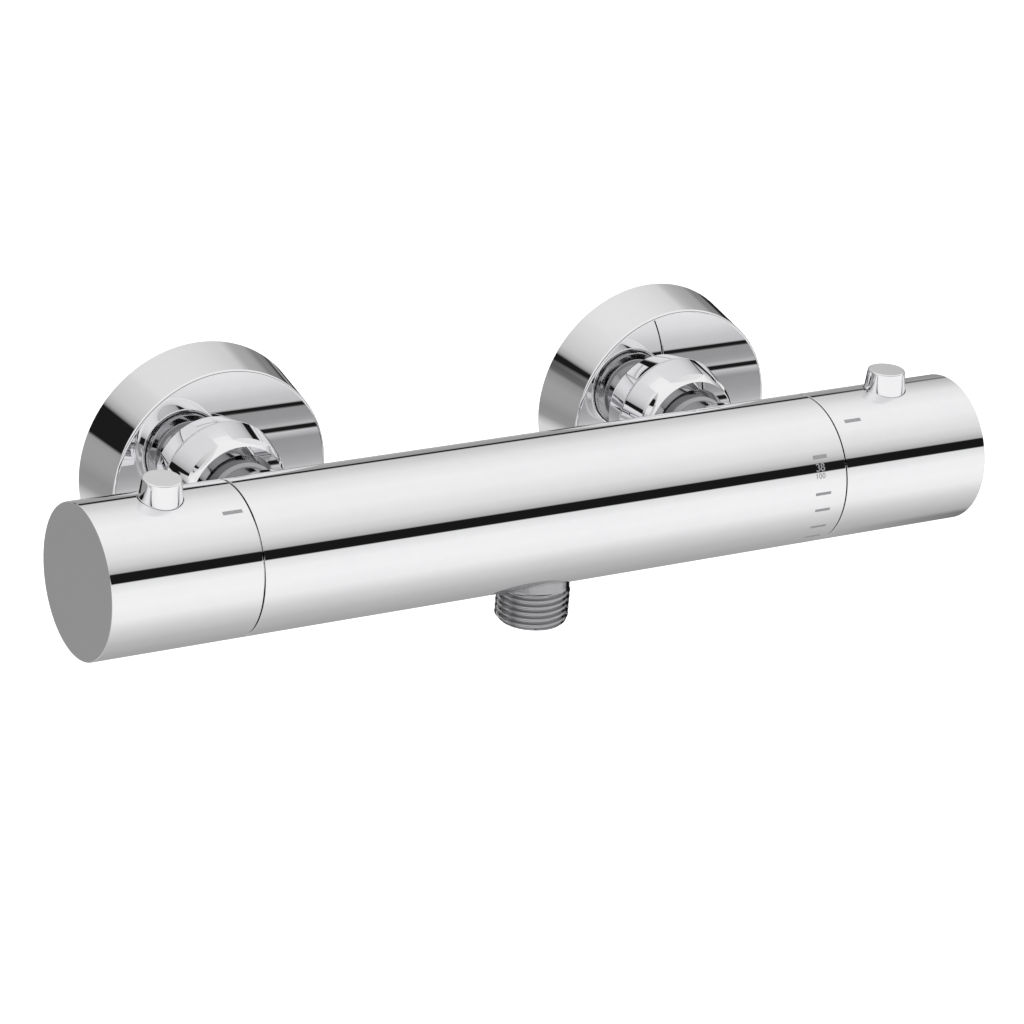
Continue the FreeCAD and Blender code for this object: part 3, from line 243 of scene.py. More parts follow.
RIGHT_WALLS = ((-180, 0.24), (-174, 0.20), (-170, 0.012), (-112, 0.012), (-100, 0.40), *BELOW[5:], *FLAG,
               (140, 0.62), (155, 0.44), (168, 0.38), (176, 0.22), (179.9, 0.24))


# ------------------------------------------------------------------ surfaces as rows of points

class Shell:
    """A closed surface built from rows of points, with quads between neighbouring rows."""

    def __init__(self):
        self.points = []
        self.faces = []
        self.count = 0

    def row(self, points):
        """Add a closed row of points and return their numbers."""
        numbers = np.arange(self.count, self.count + len(points))
        self.points.append(np.asarray(points, float))
        self.count += len(points)
        return numbers

    def band(self, first, second):
        """Quads between two rows of the same length, round to where they began."""
        quads = np.stack((first, np.roll(first, -1), np.roll(second, -1), second), axis=1)
        self.faces.extend(quads.tolist())

    def rows(self, grid, start=None, end=None):
        """Join the rows of a grid in order, from the row start and to the row end where given."""
        first, last = None, start
        for points in grid:
            numbers = self.row(points)
            if last is not None:
                self.band(last, numbers)
            first = numbers if first is None else first
            last = numbers
        if end is not None:
            self.band(last, end)
        return first, last

    def capped_rows(self, grid):
        """Rows joined in order, with a flat face on the first and on the last."""
        for row in self.rows(grid):
            self.cap(row)

    def ring_rows(self, grid):
        """Rows joined in order, and the last to the first."""
        first, last = self.rows(grid)
        self.band(last, first)

    def open_rows(self, grid, cap_last=False):
        """Rows whose last point repeats the first: equal points become one when the piece is made."""
        rows, columns = grid.shape[:2]
        numbers = self.row(grid.reshape(-1, 3)).reshape(rows, columns)
        quads = np.stack((numbers[:-1, :-1], numbers[:-1, 1:], numbers[1:, 1:], numbers[1:, :-1]), axis=-1)
        self.faces.extend(quads.reshape(-1, 4).tolist())
        if cap_last:
            self.cap(numbers[-1, :-1])

    def cap(self, row):
        """Close a flat row with one face."""
        self.faces.append(row.tolist())

    def piece(self, name, body, finish, *nodes):
        """The mesh in the row frame: equal points made one, facing outwards, smooth apart from its
        sharp edges."""
        mesh = bpy.data.meshes.new(name)
        mesh.from_pydata((np.concatenate(self.points) + AXIS).tolist(), [], self.faces)
        work = bmesh.new()
        work.from_mesh(mesh)
        bmesh.ops.remove_doubles(work, verts=work.verts, dist=0.0008 * MM)
        bmesh.ops.recalc_face_normals(work, faces=work.faces)
        work.to_mesh(mesh)
        work.free()
        return finished(mesh, name, body, finish, *nodes)


def finished(mesh, name, body, finish, *nodes):
    """Shade a mesh, give it its finish, and let it ride on its body in place of the nodes."""
    mesh.polygons.foreach_set("use_smooth", np.ones(len(mesh.polygons), bool))
    mesh.set_sharp_from_angle(angle=math.radians(31))
    mesh.materials.append(bpy.data.materials[finish])
    piece = bpy.data.objects.new(name, mesh)
    bpy.context.scene.collection.objects.link(piece)
    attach(piece, body)
    if nodes:
        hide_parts(*nodes)
    return piece


def about_bar(along, radius, angle):
    """Points about the bar: the angle grows from the front over the top."""
    return np.stack(np.broadcast_arrays(along, -radius * np.cos(angle), radius * np.sin(angle)), axis=-1)


def about_inlet(middle):
    """Points about an inlet's axis, which runs along +Y from the bar at this place."""
    def place_points(along, radius, angle):
        return np.stack(np.broadcast_arrays(middle + radius * np.cos(angle), along,
                                            radius * np.sin(angle)), axis=-1)
    return place_points


def leaning(along, height, across, lean):
    """Points at a height over the bar's axis in the direction of the angle lean, and beside it: the
    height and the distance across are turned about the bar by that angle."""
    return np.stack(np.broadcast_arrays(along, -height * math.cos(lean) + across * math.sin(lean),
                                        height * math.sin(lean) + across * math.cos(lean)), axis=-1)


def about_radius(middle, lean):
    """Points about a line that leaves the bar's axis at the place middle and the angle lean."""
    def place_points(height, radius, angle):
        return leaning(middle + radius * np.cos(angle), height, radius * np.sin(angle), lean)
    return place_points


def carried(placed, profile, angle):
    """Grid of the profile's points (along, radius) at every angle."""
    return placed(profile[:, 0, None], profile[:, 1, None], angle)


def circle(columns, start=0.0):
    """Equal angles round a circle, in radians."""
    return start + 2 * math.pi * np.arange(columns) / columns


def softened(corners, closed=False, steps=5, hold=0.05 * MM):
    """Profile with rounded corners. Each corner is (along, radius, round): a round corner becomes
    the arc tangent to both sides, drawn by turning the radius to one tangent point into the radius
    to the other in equal steps, with a point just beyond each end that keeps the flats flat."""
    points = np.array([corner[:2] for corner in corners], float)
    profile = []
    for place_in_list, (point, round_off) in enumerate(zip(points, (corner[2] for corner in corners))):
        at_end = not closed and place_in_list in (0, len(corners) - 1)
        if at_end or round_off <= 0:
            profile.append(point)
            continue
        back = points[place_in_list - 1] - point
        ahead = points[(place_in_list + 1) % len(points)] - point
        back /= np.linalg.norm(back)
        ahead /= np.linalg.norm(ahead)
        half = math.acos(np.clip(back @ ahead, -1, 1)) / 2
        reach = round_off / math.tan(half)
        middle = point + (back + ahead) / np.linalg.norm(back + ahead) * round_off / math.sin(half)
        first = point + back * reach - middle
        last = point + ahead * reach - middle
        sweep = math.pi - 2 * half
        share = np.linspace(0, 1, steps + 1)[:, None]
        arc = middle + (np.sin((1 - share) * sweep) * first + np.sin(share * sweep) * last) / math.sin(sweep)
        profile.append(point + back * (reach + hold))
        profile.extend(arc)
        profile.append(point + ahead * (reach + hold))
    return np.array(profile)


def turned(shell, profile, placed, columns=COLUMNS, closed=True, start=None, end=None, turned_by=0.0):
    """Surface of revolution: every point (along, radius) of the profile is carried round the axis.
    A closed profile gives a ring, and an open one may be joined to rows made before."""
    first, last = shell.rows(carried(placed, profile, circle(columns, turned_by)), start, end)
    if closed:
        shell.band(last, first)
    return first, last


def hexagon_radius(across_flats, angle):
    """Distance from a hexagon's middle to its side, with a flat at angle 0: half the distance across
    flats, divided by the cosine of the angle to the nearest flat's middle."""
    sixth = math.pi / 3
    return across_flats / 2 / np.cos((angle + sixth / 2) % sixth - sixth / 2)


def screw(shell, placed, thread, major, start, end, root_start, moved, sense):
    """Pipe thread. A row follows the helix: its place along the axis grows by one pitch in a turn
    and is held between the thread's ends. The radius falls from the crest by the thread's depth in
    a smooth groove, starts from a given radius, and a cone at the tip cuts the last crest off."""
    steps = 14
    reach = abs(end - start)
    columns = np.append(circle(FINE_COLUMNS), 2 * math.pi)
    last = math.ceil(reach / thread.pitch * steps) + steps
    turn_share = sense * columns / (2 * math.pi)
    travel = (np.arange(-steps, last + 1)[:, None] / steps + turn_share) * thread.pitch
    along = np.clip(travel, 0, reach)
    flank = np.abs(2 * ((along / thread.pitch - turn_share) % 1) - 1)
    ridge = np.clip((flank - 0.14) / 0.74, 0, 1)
    crest = major - thread.depth * (1 - ridge * ridge * (3 - 2 * ridge))
    fade = np.clip(along / (0.7 * thread.pitch), 0, 1)
    tip = major - thread.depth - 0.02 * MM
    out = np.minimum(root_start + (crest - root_start) * fade, tip + (reach - along))
    shell.open_rows(placed(start + math.copysign(1, end - start) * along, out, columns) + moved)
    return tip


def pierced_tube(shell, radius, stations, windows, columns=COLUMNS, turned_by=0.0):
    """Cylinder about the bar on a grid of places along it by angles round it, open at each window
    (middle row, middle column, half its rows, half its columns). Gives the first and last row, and
    for each window the loop of points round it with their distances (along, round) from its middle."""
    angle = circle(columns, turned_by)
    numbers = np.array([shell.row(about_bar(station, radius, angle)) for station in stations])
    row, column = np.meshgrid(np.arange(len(stations) - 1), np.arange(columns), indexing="ij")
    kept = np.ones(row.shape, bool)
    loops = []
    for middle_row, middle_column, half_rows, half_columns in windows:
        offset = (column - middle_column + columns // 2) % columns - columns // 2
        kept &= ~((row >= middle_row - half_rows) & (row < middle_row + half_rows)
                  & (offset >= -half_columns) & (offset < half_columns))
        upward = np.arange(-half_columns, half_columns)
        outward = np.arange(-half_rows, half_rows)
        rows_round = np.concatenate((np.full(len(upward), -half_rows), outward,
                                     np.full(len(upward), half_rows), -outward))
        columns_round = np.concatenate((upward, np.full(len(outward), half_columns), -upward,
                                        np.full(len(outward), -half_columns)))
        loop = numbers[middle_row + rows_round, (middle_column + columns_round) % columns]
        along = np.asarray(stations)[middle_row + rows_round] - stations[middle_row]
        loops.append((loop, along, radius * 2 * math.pi / columns * columns_round))
    after = (column + 1) % columns
    quads = np.stack((numbers[row, column], numbers[row + 1, column], numbers[row + 1, after],
                      numbers[row, after]), axis=-1)[kept]
    shell.faces.extend(quads.tolist())
    return numbers[0], numbers[-1], loops


def close_in(shell, window, radius, middle, lean, along_in, round_in, rings=9):
    """Rows on the cylinder that shrink from a window's loop to a curve inside it: each point moves
    in a straight line on the unrolled cylinder, in steps that get shorter near the curve."""
    loop, along, round_it = window
    share = 1 - (1 - np.arange(1, rings + 1) / rings) ** 1.35
    grid = about_bar(middle + along + share[:, None] * (along_in - along), radius,
                     lean + (round_it + share[:, None] * (round_in - round_it)) / radius)
    return shell.rows(grid, loop)[1]


def heading(window):
    """Direction of each loop point from its window's middle, as an angle."""
    return np.arctan2(window[2], window[1])


def round_hole(shell, window, radius, middle, lean, hole, edge):
    """Mouth of a round hole drilled towards the bar's axis, with its edge rounded off: rows of
    rising depth whose distance from the hole's axis falls along a quarter circle."""
    angle = heading(window)
    mouth = hole + edge
    last = close_in(shell, window, radius, middle, lean, mouth * np.cos(angle),
                    radius * np.arcsin(mouth * np.sin(angle) / radius))
    placed = about_radius(middle, lean)
    turned_off = np.linspace(0, math.pi / 2, 5)[1:, None]
    out = hole + edge * (1 - np.sin(turned_off))
    height = np.sqrt(radius ** 2 - (out * np.sin(angle)) ** 2) - edge * (1 - np.cos(turned_off))
    return shell.rows(placed(height, out, angle), last)[1], angle, placed


# ------------------------------------------------------------------ chrome pieces

def row_places(breaks):
    """Places along the bar: between neighbouring breaks (place, steps to the next one) the rows are
    equally spaced."""
    places = [np.linspace(here, there, steps, endpoint=False)
              for (here, steps), (there, _) in zip(breaks, breaks[1:])]
    return np.append(np.concatenate(places), breaks[-1][0])


def row_at(stations, middle):
    return int(np.argmin(np.abs(stations - middle)))


# Bores that narrow or widen in steps, each as its radius and the depth at which it ends, in mm
COLD_BORES = ((17.03, 6), (15.5, 26), (14.6, 42), (10.4, 52))
HOT_BORES = ((10.5075, 35), (6.3, 38))
BOSS_BORES = ((12.0, 1.7), (10.51, 8.3), (5.0, 10.1))
WATER_WAY = 7.0 * MM


def stepped(bores):
    """Corners (depth, radius) of a stepped bore, from its mouth inwards."""
    starts = (0, *(end for _, end in bores))
    return [(depth * MM, radius * MM) for start, (radius, end) in zip(starts, bores)
            for depth in (start, end)]


class VALVE_OT_bar_body(bpy.types.Operator):
    """Middle of the bar, with the bosses of the inlets, the outlet's hole and the stepped bores"""
    bl_idname = "valve.bar_body"
    bl_label = "Bar body"

    def execute(self, context):
        size = context.scene.bar_sizes
        radius, edge, inlet = size.radius, size.edge, size.inlet
        start, end = size.flow_face, size.temperature_face
        half_boss, half_outlet = 14.3 * MM, 12.5 * MM
        stations = row_places(((start + edge, 2), (-inlet - half_boss, 60), (-inlet + half_boss, 8),
                               (-half_outlet, 52), (half_outlet, 8), (inlet - half_boss, 60),
                               (inlet + half_boss, 1), (end - edge, 1)))
        back, under = COLUMNS // 2, COLUMNS * 3 // 4
        shell = Shell()
        first, last, loops = pierced_tube(
            shell, radius, stations,
            ((row_at(stations, -inlet), back, 30, 36), (row_at(stations, inlet), back, 30, 36),
             (row_at(stations, 0.0), under, 26, 27)))
        for window, middle in zip(loops, (-inlet, inlet)):
            self.boss(shell, window, size, middle)
        self.outlet_hole(shell, loops[2], size)
        profile = softened(self.ends_and_bores(size))
        turned(shell, profile[1:-1], about_bar, closed=False, start=last, end=first)
        shell.piece("bar_body", "valve", "polished_chrome", "valve_body")
        return {"FINISHED"}

    def ends_and_bores(self, size):
        """Profile from the outside at the cold end, through the bores, to the outside at the hot end."""
        radius, edge = size.radius, size.edge
        spigot = radius - size.handle_wall - 0.2 * MM
        ring_bore, ring = spigot - 1.95 * MM, 3.0 * MM
        corners = []
        for face, outward, bores in ((size.temperature_face, 1, COLD_BORES), (size.flow_face, -1, HOT_BORES)):
            depths = ((0, spigot), (-ring, spigot), (-ring, ring_bore), (0, ring_bore), *stepped(bores),
                      (bores[-1][1] * MM, WATER_WAY))
            side = [(face - outward * 2 * edge, radius, 0), (face, radius, edge * 0.8)]
            side += [(face - outward * depth, bore, 0) for depth, bore in depths]
            corners += side[::outward]
        return corners

    def boss(self, shell, window, size, middle):
        """Round boss on the back of the bar. Its fillet is what a ball touches that rolls round
        the boss on the bar: the ball's middle lies one ball radius off both, and each row of the
        fillet is its point between the two contacts."""
        radius, boss, ball = size.radius, size.boss_radius, size.boss_fillet
        angle = heading(window)
        lean = math.radians(BACK)
        ring = boss + ball
        last = close_in(shell, window, radius, middle, lean, ring * np.cos(angle),
                        radius * np.arcsin(ring * np.sin(angle) / (radius + ball)), rings=8)
        height = np.sqrt((radius + ball) ** 2 - (ring * np.sin(angle)) ** 2)
        centre = np.stack((ring * np.cos(angle), ring * np.sin(angle), height), axis=-1)
        to_bar = -centre * (0, 1, 1) / (radius + ball)
        to_boss = np.stack((-np.cos(angle), -np.sin(angle), np.zeros(len(angle))), axis=-1)
        between = np.arccos(np.clip((to_bar * to_boss).sum(-1), -1, 1))[:, None]
        share = np.linspace(0, 1, 8)[1:, None, None]
        arc = centre + ball * (np.sin((1 - share) * between) * to_bar
                               + np.sin(share * between) * to_boss) / np.sin(between)
        last = shell.rows(leaning(middle + arc[..., 0], arc[..., 2], arc[..., 1], lean), last)[1]
        top = size.boss_height
        bores = [(top - depth, bore, 0 if depth else 0.1 * MM) for depth, bore in stepped(BOSS_BORES)]
        profile = softened(((top - 2 * MM, boss, 0), (top, boss, 0.3 * MM), *bores))[1:]
        shell.cap(shell.rows(carried(about_radius(middle, lean), profile, angle), last)[1])

    def outlet_hole(self, shell, window, size):
        """Hole of the outlet nipple, with the chamber above it."""
        last, angle, placed = round_hole(shell, window, size.radius, 0.0, math.radians(UNDER),
                                         size.outlet_hole, 0.15 * MM)
        floor, roof, chamber = 12.8 * MM, 9.0 * MM, 7.2 * MM
        profile = np.array(((floor, size.outlet_hole), (floor, chamber), (roof, chamber)))
        shell.cap(shell.rows(carried(placed, profile, angle), last)[1])


class VALVE_OT_handles(bpy.types.Operator):
    """Chromed cups at both ends of the bar, pierced for the button and the grub screw"""
    bl_idname = "valve.handles"
    bl_label = "Handles"

    def execute(self, context):
        size, button = context.scene.bar_sizes, context.scene.button_sizes
        self.handle(size, button, "flow_handle_shell", "flow_handle", "flow_knob", size.flow_face, -1,
                    size.flow_end, button.flow_place, button.flow_angle)
        self.handle(size, button, "temperature_handle_shell", "temperature_handle", "temperature_knob",
                    size.temperature_face, 1, size.temperature_end, button.temperature_place,
                    button.temperature_angle)
        return {"FINISHED"}

    def handle(self, size, button, name, node, body, face, outward, end, middle, lean):
        """Two cylinders on one grid, joined through the holes and round the open end."""
        shell = Shell()
        radius, edge = size.radius, size.edge
        round_off = edge * 0.8
        bore = radius - size.handle_wall
        mouth = face + outward * size.seam
        half = 9.0 * MM

        def tube(tube_radius, near, far):
            stations = row_places(((near, 3), (middle - outward * half, 40), (middle + outward * half, 3),
                                   (far, 1)))
            row = row_at(stations, middle)
            return pierced_tube(shell, tube_radius, stations,
                                ((row, 0, 20, 20), (row, COLUMNS // 2, 8, 9)), turned_by=lean)

        outside = tube(radius, mouth + outward * edge, end - outward * edge)
        inside = tube(bore, mouth + outward * edge, end - outward * size.end_wall)
        for outer, inner, hole, side in zip(outside[2], inside[2], (button.hole, button.grub_hole),
                                            (lean, lean + math.pi)):
            rim, angle, _ = round_hole(shell, outer, radius, middle, side, hole, 0.2 * MM)
            foot = close_in(shell, inner, bore, middle, side, hole * np.cos(angle),
                            bore * np.arcsin(hole * np.sin(angle) / bore), rings=4)
            shell.band(rim, foot)
        rim = softened(((mouth + outward * 2 * edge, radius, 0), (mouth, radius, round_off),
                        (mouth, bore, 0), (mouth + outward * 2 * edge, bore, 0)))[1:-1]
        turned(shell, rim, about_bar, closed=False, start=outside[0], end=inside[0], turned_by=lean)
        closed_end = softened(((end - outward * 2 * edge, radius, 0), (end, radius, round_off),
                               (end, radius / 2, 0)))[1:-1]
        last = turned(shell, closed_end, about_bar, closed=False, start=outside[1], turned_by=lean)[1]
        shell.cap(last)
        shell.cap(inside[1])
        shell.piece(name, body, "polished_chrome", node)


class VALVE_OT_buttons(bpy.types.Operator):
    """Push buttons that stand out of the handles, with the flange and latch that hold them inside"""
    bl_idname = "valve.buttons"
    bl_label = "Buttons"

    def execute(self, context):
        size = context.scene.button_sizes
        for word, middle, inward, lean in (
                ("eco", size.flow_place, 1, size.flow_angle),
                ("safety", size.temperature_place, -1, size.temperature_angle)):
            self.button(context, word + "_push_button", word + "_button", word + "_pin", middle, inward, lean)
        return {"FINISHED"}

    def button(self, context, name, node, body, middle, inward, lean):
        """Rows round the button's own axis. The flange's upper face lies on the cylinder of the
        handle's bore: there the height is the root of its radius squared less the offset squared."""
        size, bar = context.scene.button_sizes, context.scene.bar_sizes
        ceiling = bar.radius - bar.handle_wall - 0.15 * MM
        angle = circle(FINE_COLUMNS)
        across = np.sin(angle)
        under_wall = [np.sqrt(ceiling ** 2 - (out * across) ** 2) for out in (size.flange, size.radius)]
        top = softened(((size.leave, size.radius, 0), (size.top, size.top_radius, size.edge),
                        (size.top, 2 * MM, 0)), steps=7)[:-1]
        level = np.ones(FINE_COLUMNS)
        height = np.stack([size.pocket_top * level, size.flange_bottom * level, size.flange_bottom * level,
                           *under_wall, *(top[:, 0, None] * level)])
        out = np.array([size.pocket, size.pocket, size.flange, size.flange, size.radius, *top[:, 1]])
        shell = Shell()
        shell.capped_rows(about_radius(middle, lean)(height, out[:, None], angle))
        self.latch(shell, size, middle, inward, lean, ceiling)
        shell.piece(name, body, "polished_chrome", node)

    def latch(self, shell, size, middle, inward, lean, ceiling):
        """Block towards the seam: a rectangle swept along the bar, its top on the bore's cylinder."""
        across = np.linspace(-size.latch, size.latch, 9)
        outline = np.concatenate((
            np.stack((across, np.sqrt(ceiling ** 2 - across ** 2)), axis=1),
            np.array(((size.latch, size.flange_bottom), (-size.latch, size.flange_bottom)))))
        reach = np.array((size.radius - 1 * MM, size.latch_reach)) * inward + middle
        shell.capped_rows(leaning(reach[:, None], outline[:, 1], outline[:, 0], lean))


class VALVE_OT_springs(bpy.types.Operator):
    """Springs under the buttons and in the check valves"""
    bl_idname = "valve.springs"
    bl_label = "Springs"

    def execute(self, context):
        size, button = context.scene.spring_sizes, context.scene.button_sizes
        for node, body, joint, middle, lean in (
                ("eco_spring", "flow_knob", "eco_button_press", button.flow_place, button.flow_angle),
                ("safety_spring", "temperature_knob", "safety_button_press", button.temperature_place,
                 button.temperature_angle)):
            self.coil(node, body, joint, about_radius(middle, lean), size.button_seat, size.button_top,
                      size.button_radius, size.button_wire, size.button_turns, size.press)
        for side in ("hot", "cold"):
            low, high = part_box(side + "_check_spring")
            self.coil(side + "_check_spring", "valve", side + "_check_opening",
                      about_inlet((low.x + high.x) / 2), low.y - AXIS[1], high.y - AXIS[1],
                      (high.z - low.z) / 2, size.check_wire, size.check_turns, size.opening)
        return {"FINISHED"}

    def coil(self, node, body, joint, placed, seat, top, radius, wire, turns, travel):
        """Circles of the wire, one after another along the helix: the angle and the place along the axis grow
        together, and each circle stands in the plane through the axis. The joint and the travel are not used."""
        steps_in_turn, columns = 28, 12
        share = np.linspace(0, 1, turns * steps_in_turn + 1)[:, None]
        around, half = circle(columns), wire / 2
        along = seat + half + share * (top - seat - wire) + half * np.sin(around)
        shell = Shell()
        shell.capped_rows(placed(along, radius - half + half * np.cos(around), 2 * math.pi * turns * share))
        piece = shell.piece(node + "_coil", body, "steel", node)
        foot, head = (placed(np.array(end), np.array(0.0), np.array(0.0)) for end in (seat, top))
        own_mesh(piece)


class VALVE_OT_wall_parts(bpy.types.Operator):
    """At each inlet the screwed neck, the union nut, the rosette and the eccentric wall union"""
    bl_idname = "valve.wall_parts"
    bl_label = "Wall parts"

    def execute(self, context):
        bar, wall = context.scene.bar_sizes, context.scene.wall_sizes
        thread = context.scene.thread_sizes
        for side, middle, flats in (("hot", -bar.inlet, wall.hot_nut_turn),
                                    ("cold", bar.inlet, wall.cold_nut_turn)):
            placed = about_inlet(middle)
            self.neck(side, placed, bar, wall)
            self.nut(side, placed, wall, flats)
            self.rosette(side, placed, wall)
            self.union(side, placed, wall, thread)
        return {"FINISHED"}

    def neck(self, side, placed, bar, wall):
        """Turned neck with the seat of the union's flange, and a hexagon key socket through it."""
        foot, flange = bar.boss_height, wall.flange_front
        back = flange + wall.flange_thickness
        front, socket = foot - 7.8 * MM, foot - 3.21 * MM
        screwed, collar, waist, seat = 10.4 * MM, 11.8 * MM, 10.0 * MM, 10.8 * MM
        bore, key_flats = 7.7 * MM, 10.0 * MM
        profile = softened((
            (front, screwed, 0), (foot, screwed, 0), (foot, collar, 0.1 * MM),
            (foot + 2.0 * MM, collar, 0.2 * MM), (foot + 2.7 * MM, waist, 0.3 * MM),
            (flange - 4.75 * MM, waist, 0.2 * MM), (flange - 4.05 * MM, seat, 0.2 * MM),
            (flange, seat, 0), (flange, wall.flange_radius, 0.1 * MM),
            (back, wall.flange_radius, 0.1 * MM), (back, bore, 0), (socket, bore, 0)))
        angle = circle(FINE_COLUMNS)
        along = np.append(profile[:, 0], (socket, front))
        key = hexagon_radius(key_flats, angle)
        out = np.concatenate((np.repeat(profile[:, 1, None], FINE_COLUMNS, axis=1), key[None], key[None]))
        shell = Shell()
        shell.ring_rows(placed(along[:, None], out, angle))
        # The dark satin chrome paints the shade between the union nut and the bar into the neck's colour.
        shell.piece(f"{side}_inlet_neck", "valve", "satin_chrome", f"{side}_inlet_nipple")

    def nut(self, side, placed, wall, flats):
        """Tapered nut. Its nose is the smaller of a cone and a hexagon: in each column the radius
        follows the cone up to where it meets the flat, then the flat, and climbs to the foot of the
        nose on the slope that the milling cutter leaves."""
        angle = circle(FINE_COLUMNS, flats)
        base, front = wall.nut_base, wall.nut_base - wall.nut_length
        nose = base - wall.nut_taper
        rise = (wall.nut_nose - wall.nut_front) / (nose - front)
        flat = np.minimum(hexagon_radius(wall.nut_flats, angle - flats), wall.nut_nose)
        meets = front + (flat - wall.nut_front) / rise
        shoulder = softened(((nose - MM, wall.nut_nose, 0), (nose, wall.nut_nose, 0.0),
                             (base, wall.nut_base_radius, 0.25 * MM), (base, 14 * MM, 0)))[1:-1]
        lip, lip_end, chamfer, bore = wall.nut_lip_bore, front + 1.6 * MM, 1.2 * MM, 13.25 * MM
        inside = ((base, bore), (lip_end, bore), (lip_end, lip), (front + chamfer, lip),
                  (front, lip + chamfer))
        foot = np.maximum(nose - (wall.nut_nose - flat) * 0.8, meets)
        rows = [(front, wall.nut_front), (meets, flat), (foot, flat), *shoulder, *inside]
        along, out = (np.stack([np.broadcast_to(row[part], FINE_COLUMNS) for row in rows]) for part in (0, 1))
        shell = Shell()
        shell.ring_rows(placed(along, out, angle))
        shell.piece(f"{side}_nut", "valve", "polished_chrome", f"{side}_union_nut")

    def rosette(self, side, placed, wall):
        """Deep pressed cup with a hub: one closed profile turned round the inlet's axis."""
        face, back = wall.rosette_face, wall.distance
        slope = (wall.rosette_back - wall.rosette_front) / (back - face)
        inner_front = wall.rosette_front + slope * 2 * MM - wall.rosette_wall
        hub, bore, fine, lip = 16.5 * MM, 13.27 * MM, 0.1 * MM, 0.12 * MM
        inner_face, hub_end = face + 2 * MM, back - 8.44 * MM
        profile = softened((
            (face, bore, fine), (face, wall.rosette_front, wall.rosette_edge), (back, wall.rosette_back, lip),
            (back, wall.rosette_back - wall.rosette_wall, lip), (inner_face, inner_front, 0.8 * MM),
            (inner_face, hub, 0.4 * MM), (hub_end, hub, fine), (hub_end, bore, fine)), closed=True, steps=8)
        shell = Shell()
        turned(shell, profile, placed, COLUMNS)
        shell.piece(f"{side}_rosette_cup", "valve", "polished_chrome", f"{side}_rosette")

    def union(self, side, placed, wall, thread):
        """Wall union: two threads on axes one offset apart, joined by a block whose outline is a
        circle carried from one axis to the other."""
        shell = Shell()
        angle = np.append(circle(FINE_COLUMNS), 2 * math.pi)
        still, drop = np.zeros(3), np.array((0.0, 0.0, -wall.union_offset))
        lower = np.where(np.sin(angle) < -1e-9, 1.0, 0.0)[:, None] * drop
        block_end = wall.distance - 2.15 * MM
        block_start = block_end - 6.0 * MM
        front = wall.flange_front + wall.flange_thickness + 2.04 * MM
        tail_start, tail_end = wall.distance - 1.5 * MM, wall.distance + wall.tail
        major, bore, tail_bore = 13.22 * MM, 8.5 * MM, thread.outlet_bore
        floor = block_start + 3.0 * MM
        root, tail_root = major - thread.depth, thread.radius - thread.depth

        def rings(*profile, cap_last=False):
            shell.open_rows(np.stack([placed(along, out, angle) + moved for along, out, moved in profile]),
                            cap_last)

        tip = screw(shell, placed, thread, major, block_start, front, root, still, 1)
        rings((front, tip, still), (front, bore, still), (floor, bore, still), cap_last=True)
        block, soft = wall.union_block, 0.4 * MM
        rings((block_start, root, still), (block_start, block - soft, lower),
              (block_start + soft, block, lower), (block_end - soft, block, lower),
              (block_end, block - soft, lower), (block_end, tail_root, drop), (tail_start, tail_root, drop))
        tip = screw(shell, placed, thread, thread.radius, tail_start, tail_end, tail_root, drop, -1)
        rings((tail_end, tip, drop), (tail_end, tail_bore, drop), (floor + 0.2 * MM, tail_bore, drop),
              cap_last=True)
        shell.piece(f"{side}_wall_union", "valve", "brass", f"{side}_s_union")


class VALVE_OT_outlet(bpy.types.Operator):
    """Threaded outlet nipple under the bar, for the shower hose"""
    bl_idname = "valve.outlet"
    bl_label = "Outlet"

    def execute(self, context):
        bar, thread = context.scene.bar_sizes, context.scene.thread_sizes
        placed = about_radius(0.0, math.radians(UNDER))
        angle = np.append(circle(FINE_COLUMNS), 2 * math.pi)
        top = bar.radius - 7.11 * MM
        socket_end = top + 5 * MM
        thread_start, end = bar.radius + 0.12 * MM, thread.outlet_end
        shell = Shell()
        tip = screw(shell, placed, thread, thread.radius, thread_start, end, thread.collar_radius, 0.0, 1)
        collar, bore, key = thread.collar_radius, thread.outlet_bore, hexagon_radius(12.0 * MM, angle)
        rows = ((end, tip), (end, bore), (socket_end, bore), (socket_end, key), (top, key), (top, collar),
                (thread_start, collar))
        shell.open_rows(np.stack([placed(along, out, angle) for along, out in rows]))
        # The dark satin chrome paints the shade under the bar into the nipple's colour, besides the rougher
        # finish of its unpolished thread.
        shell.piece("outlet_thread_nipple", "valve", "satin_chrome", "outlet_nipple")
        return {"FINISHED"}


# ------------------------------------------------------------------ printed marks

DIGITS = {
    # each digit's strokes as arcs: middle across, middle up, half width, half height, first, last angle
    "0": ((0.30, 0.50, 0.26, 0.46, 0, 360),),
    "1": ((0.32, 0.50, 0.0, 0.46, -90, 90), (0.10, 0.96, 0.22, 0.20, -70, 0)),
    "3": ((0.28, 0.73, 0.24, 0.23, 150, -90), (0.28, 0.27, 0.28, 0.25, 90, -150)),
    "8": ((0.30, 0.74, 0.22, 0.22, 0, 360), (0.30, 0.27, 0.27, 0.25, 0, 360)),
}
DIGIT_SPACING = 0.78                # between digits, in digit heights

# Strokes along the bar: the angle in degrees, then where each begins and ends, in mm
COMFORT_MARK = (32.3, 79.1, 83.9)
TICKS = ((3.5, 79.2, 84.5), (-10.5, 79.8, 84.9), (-27.7, 80.3, 85.7), (-42.0, 81.0, 86.3),
         (-57.0, 81.0, 86.3), (-72.0, 81.0, 86.3))
# The scale's numbers: angle in degrees and first digit's place in mm
CELSIUS_MARK, FAHRENHEIT_MARK = (24.3, 79.6), (17.7, 79.2)


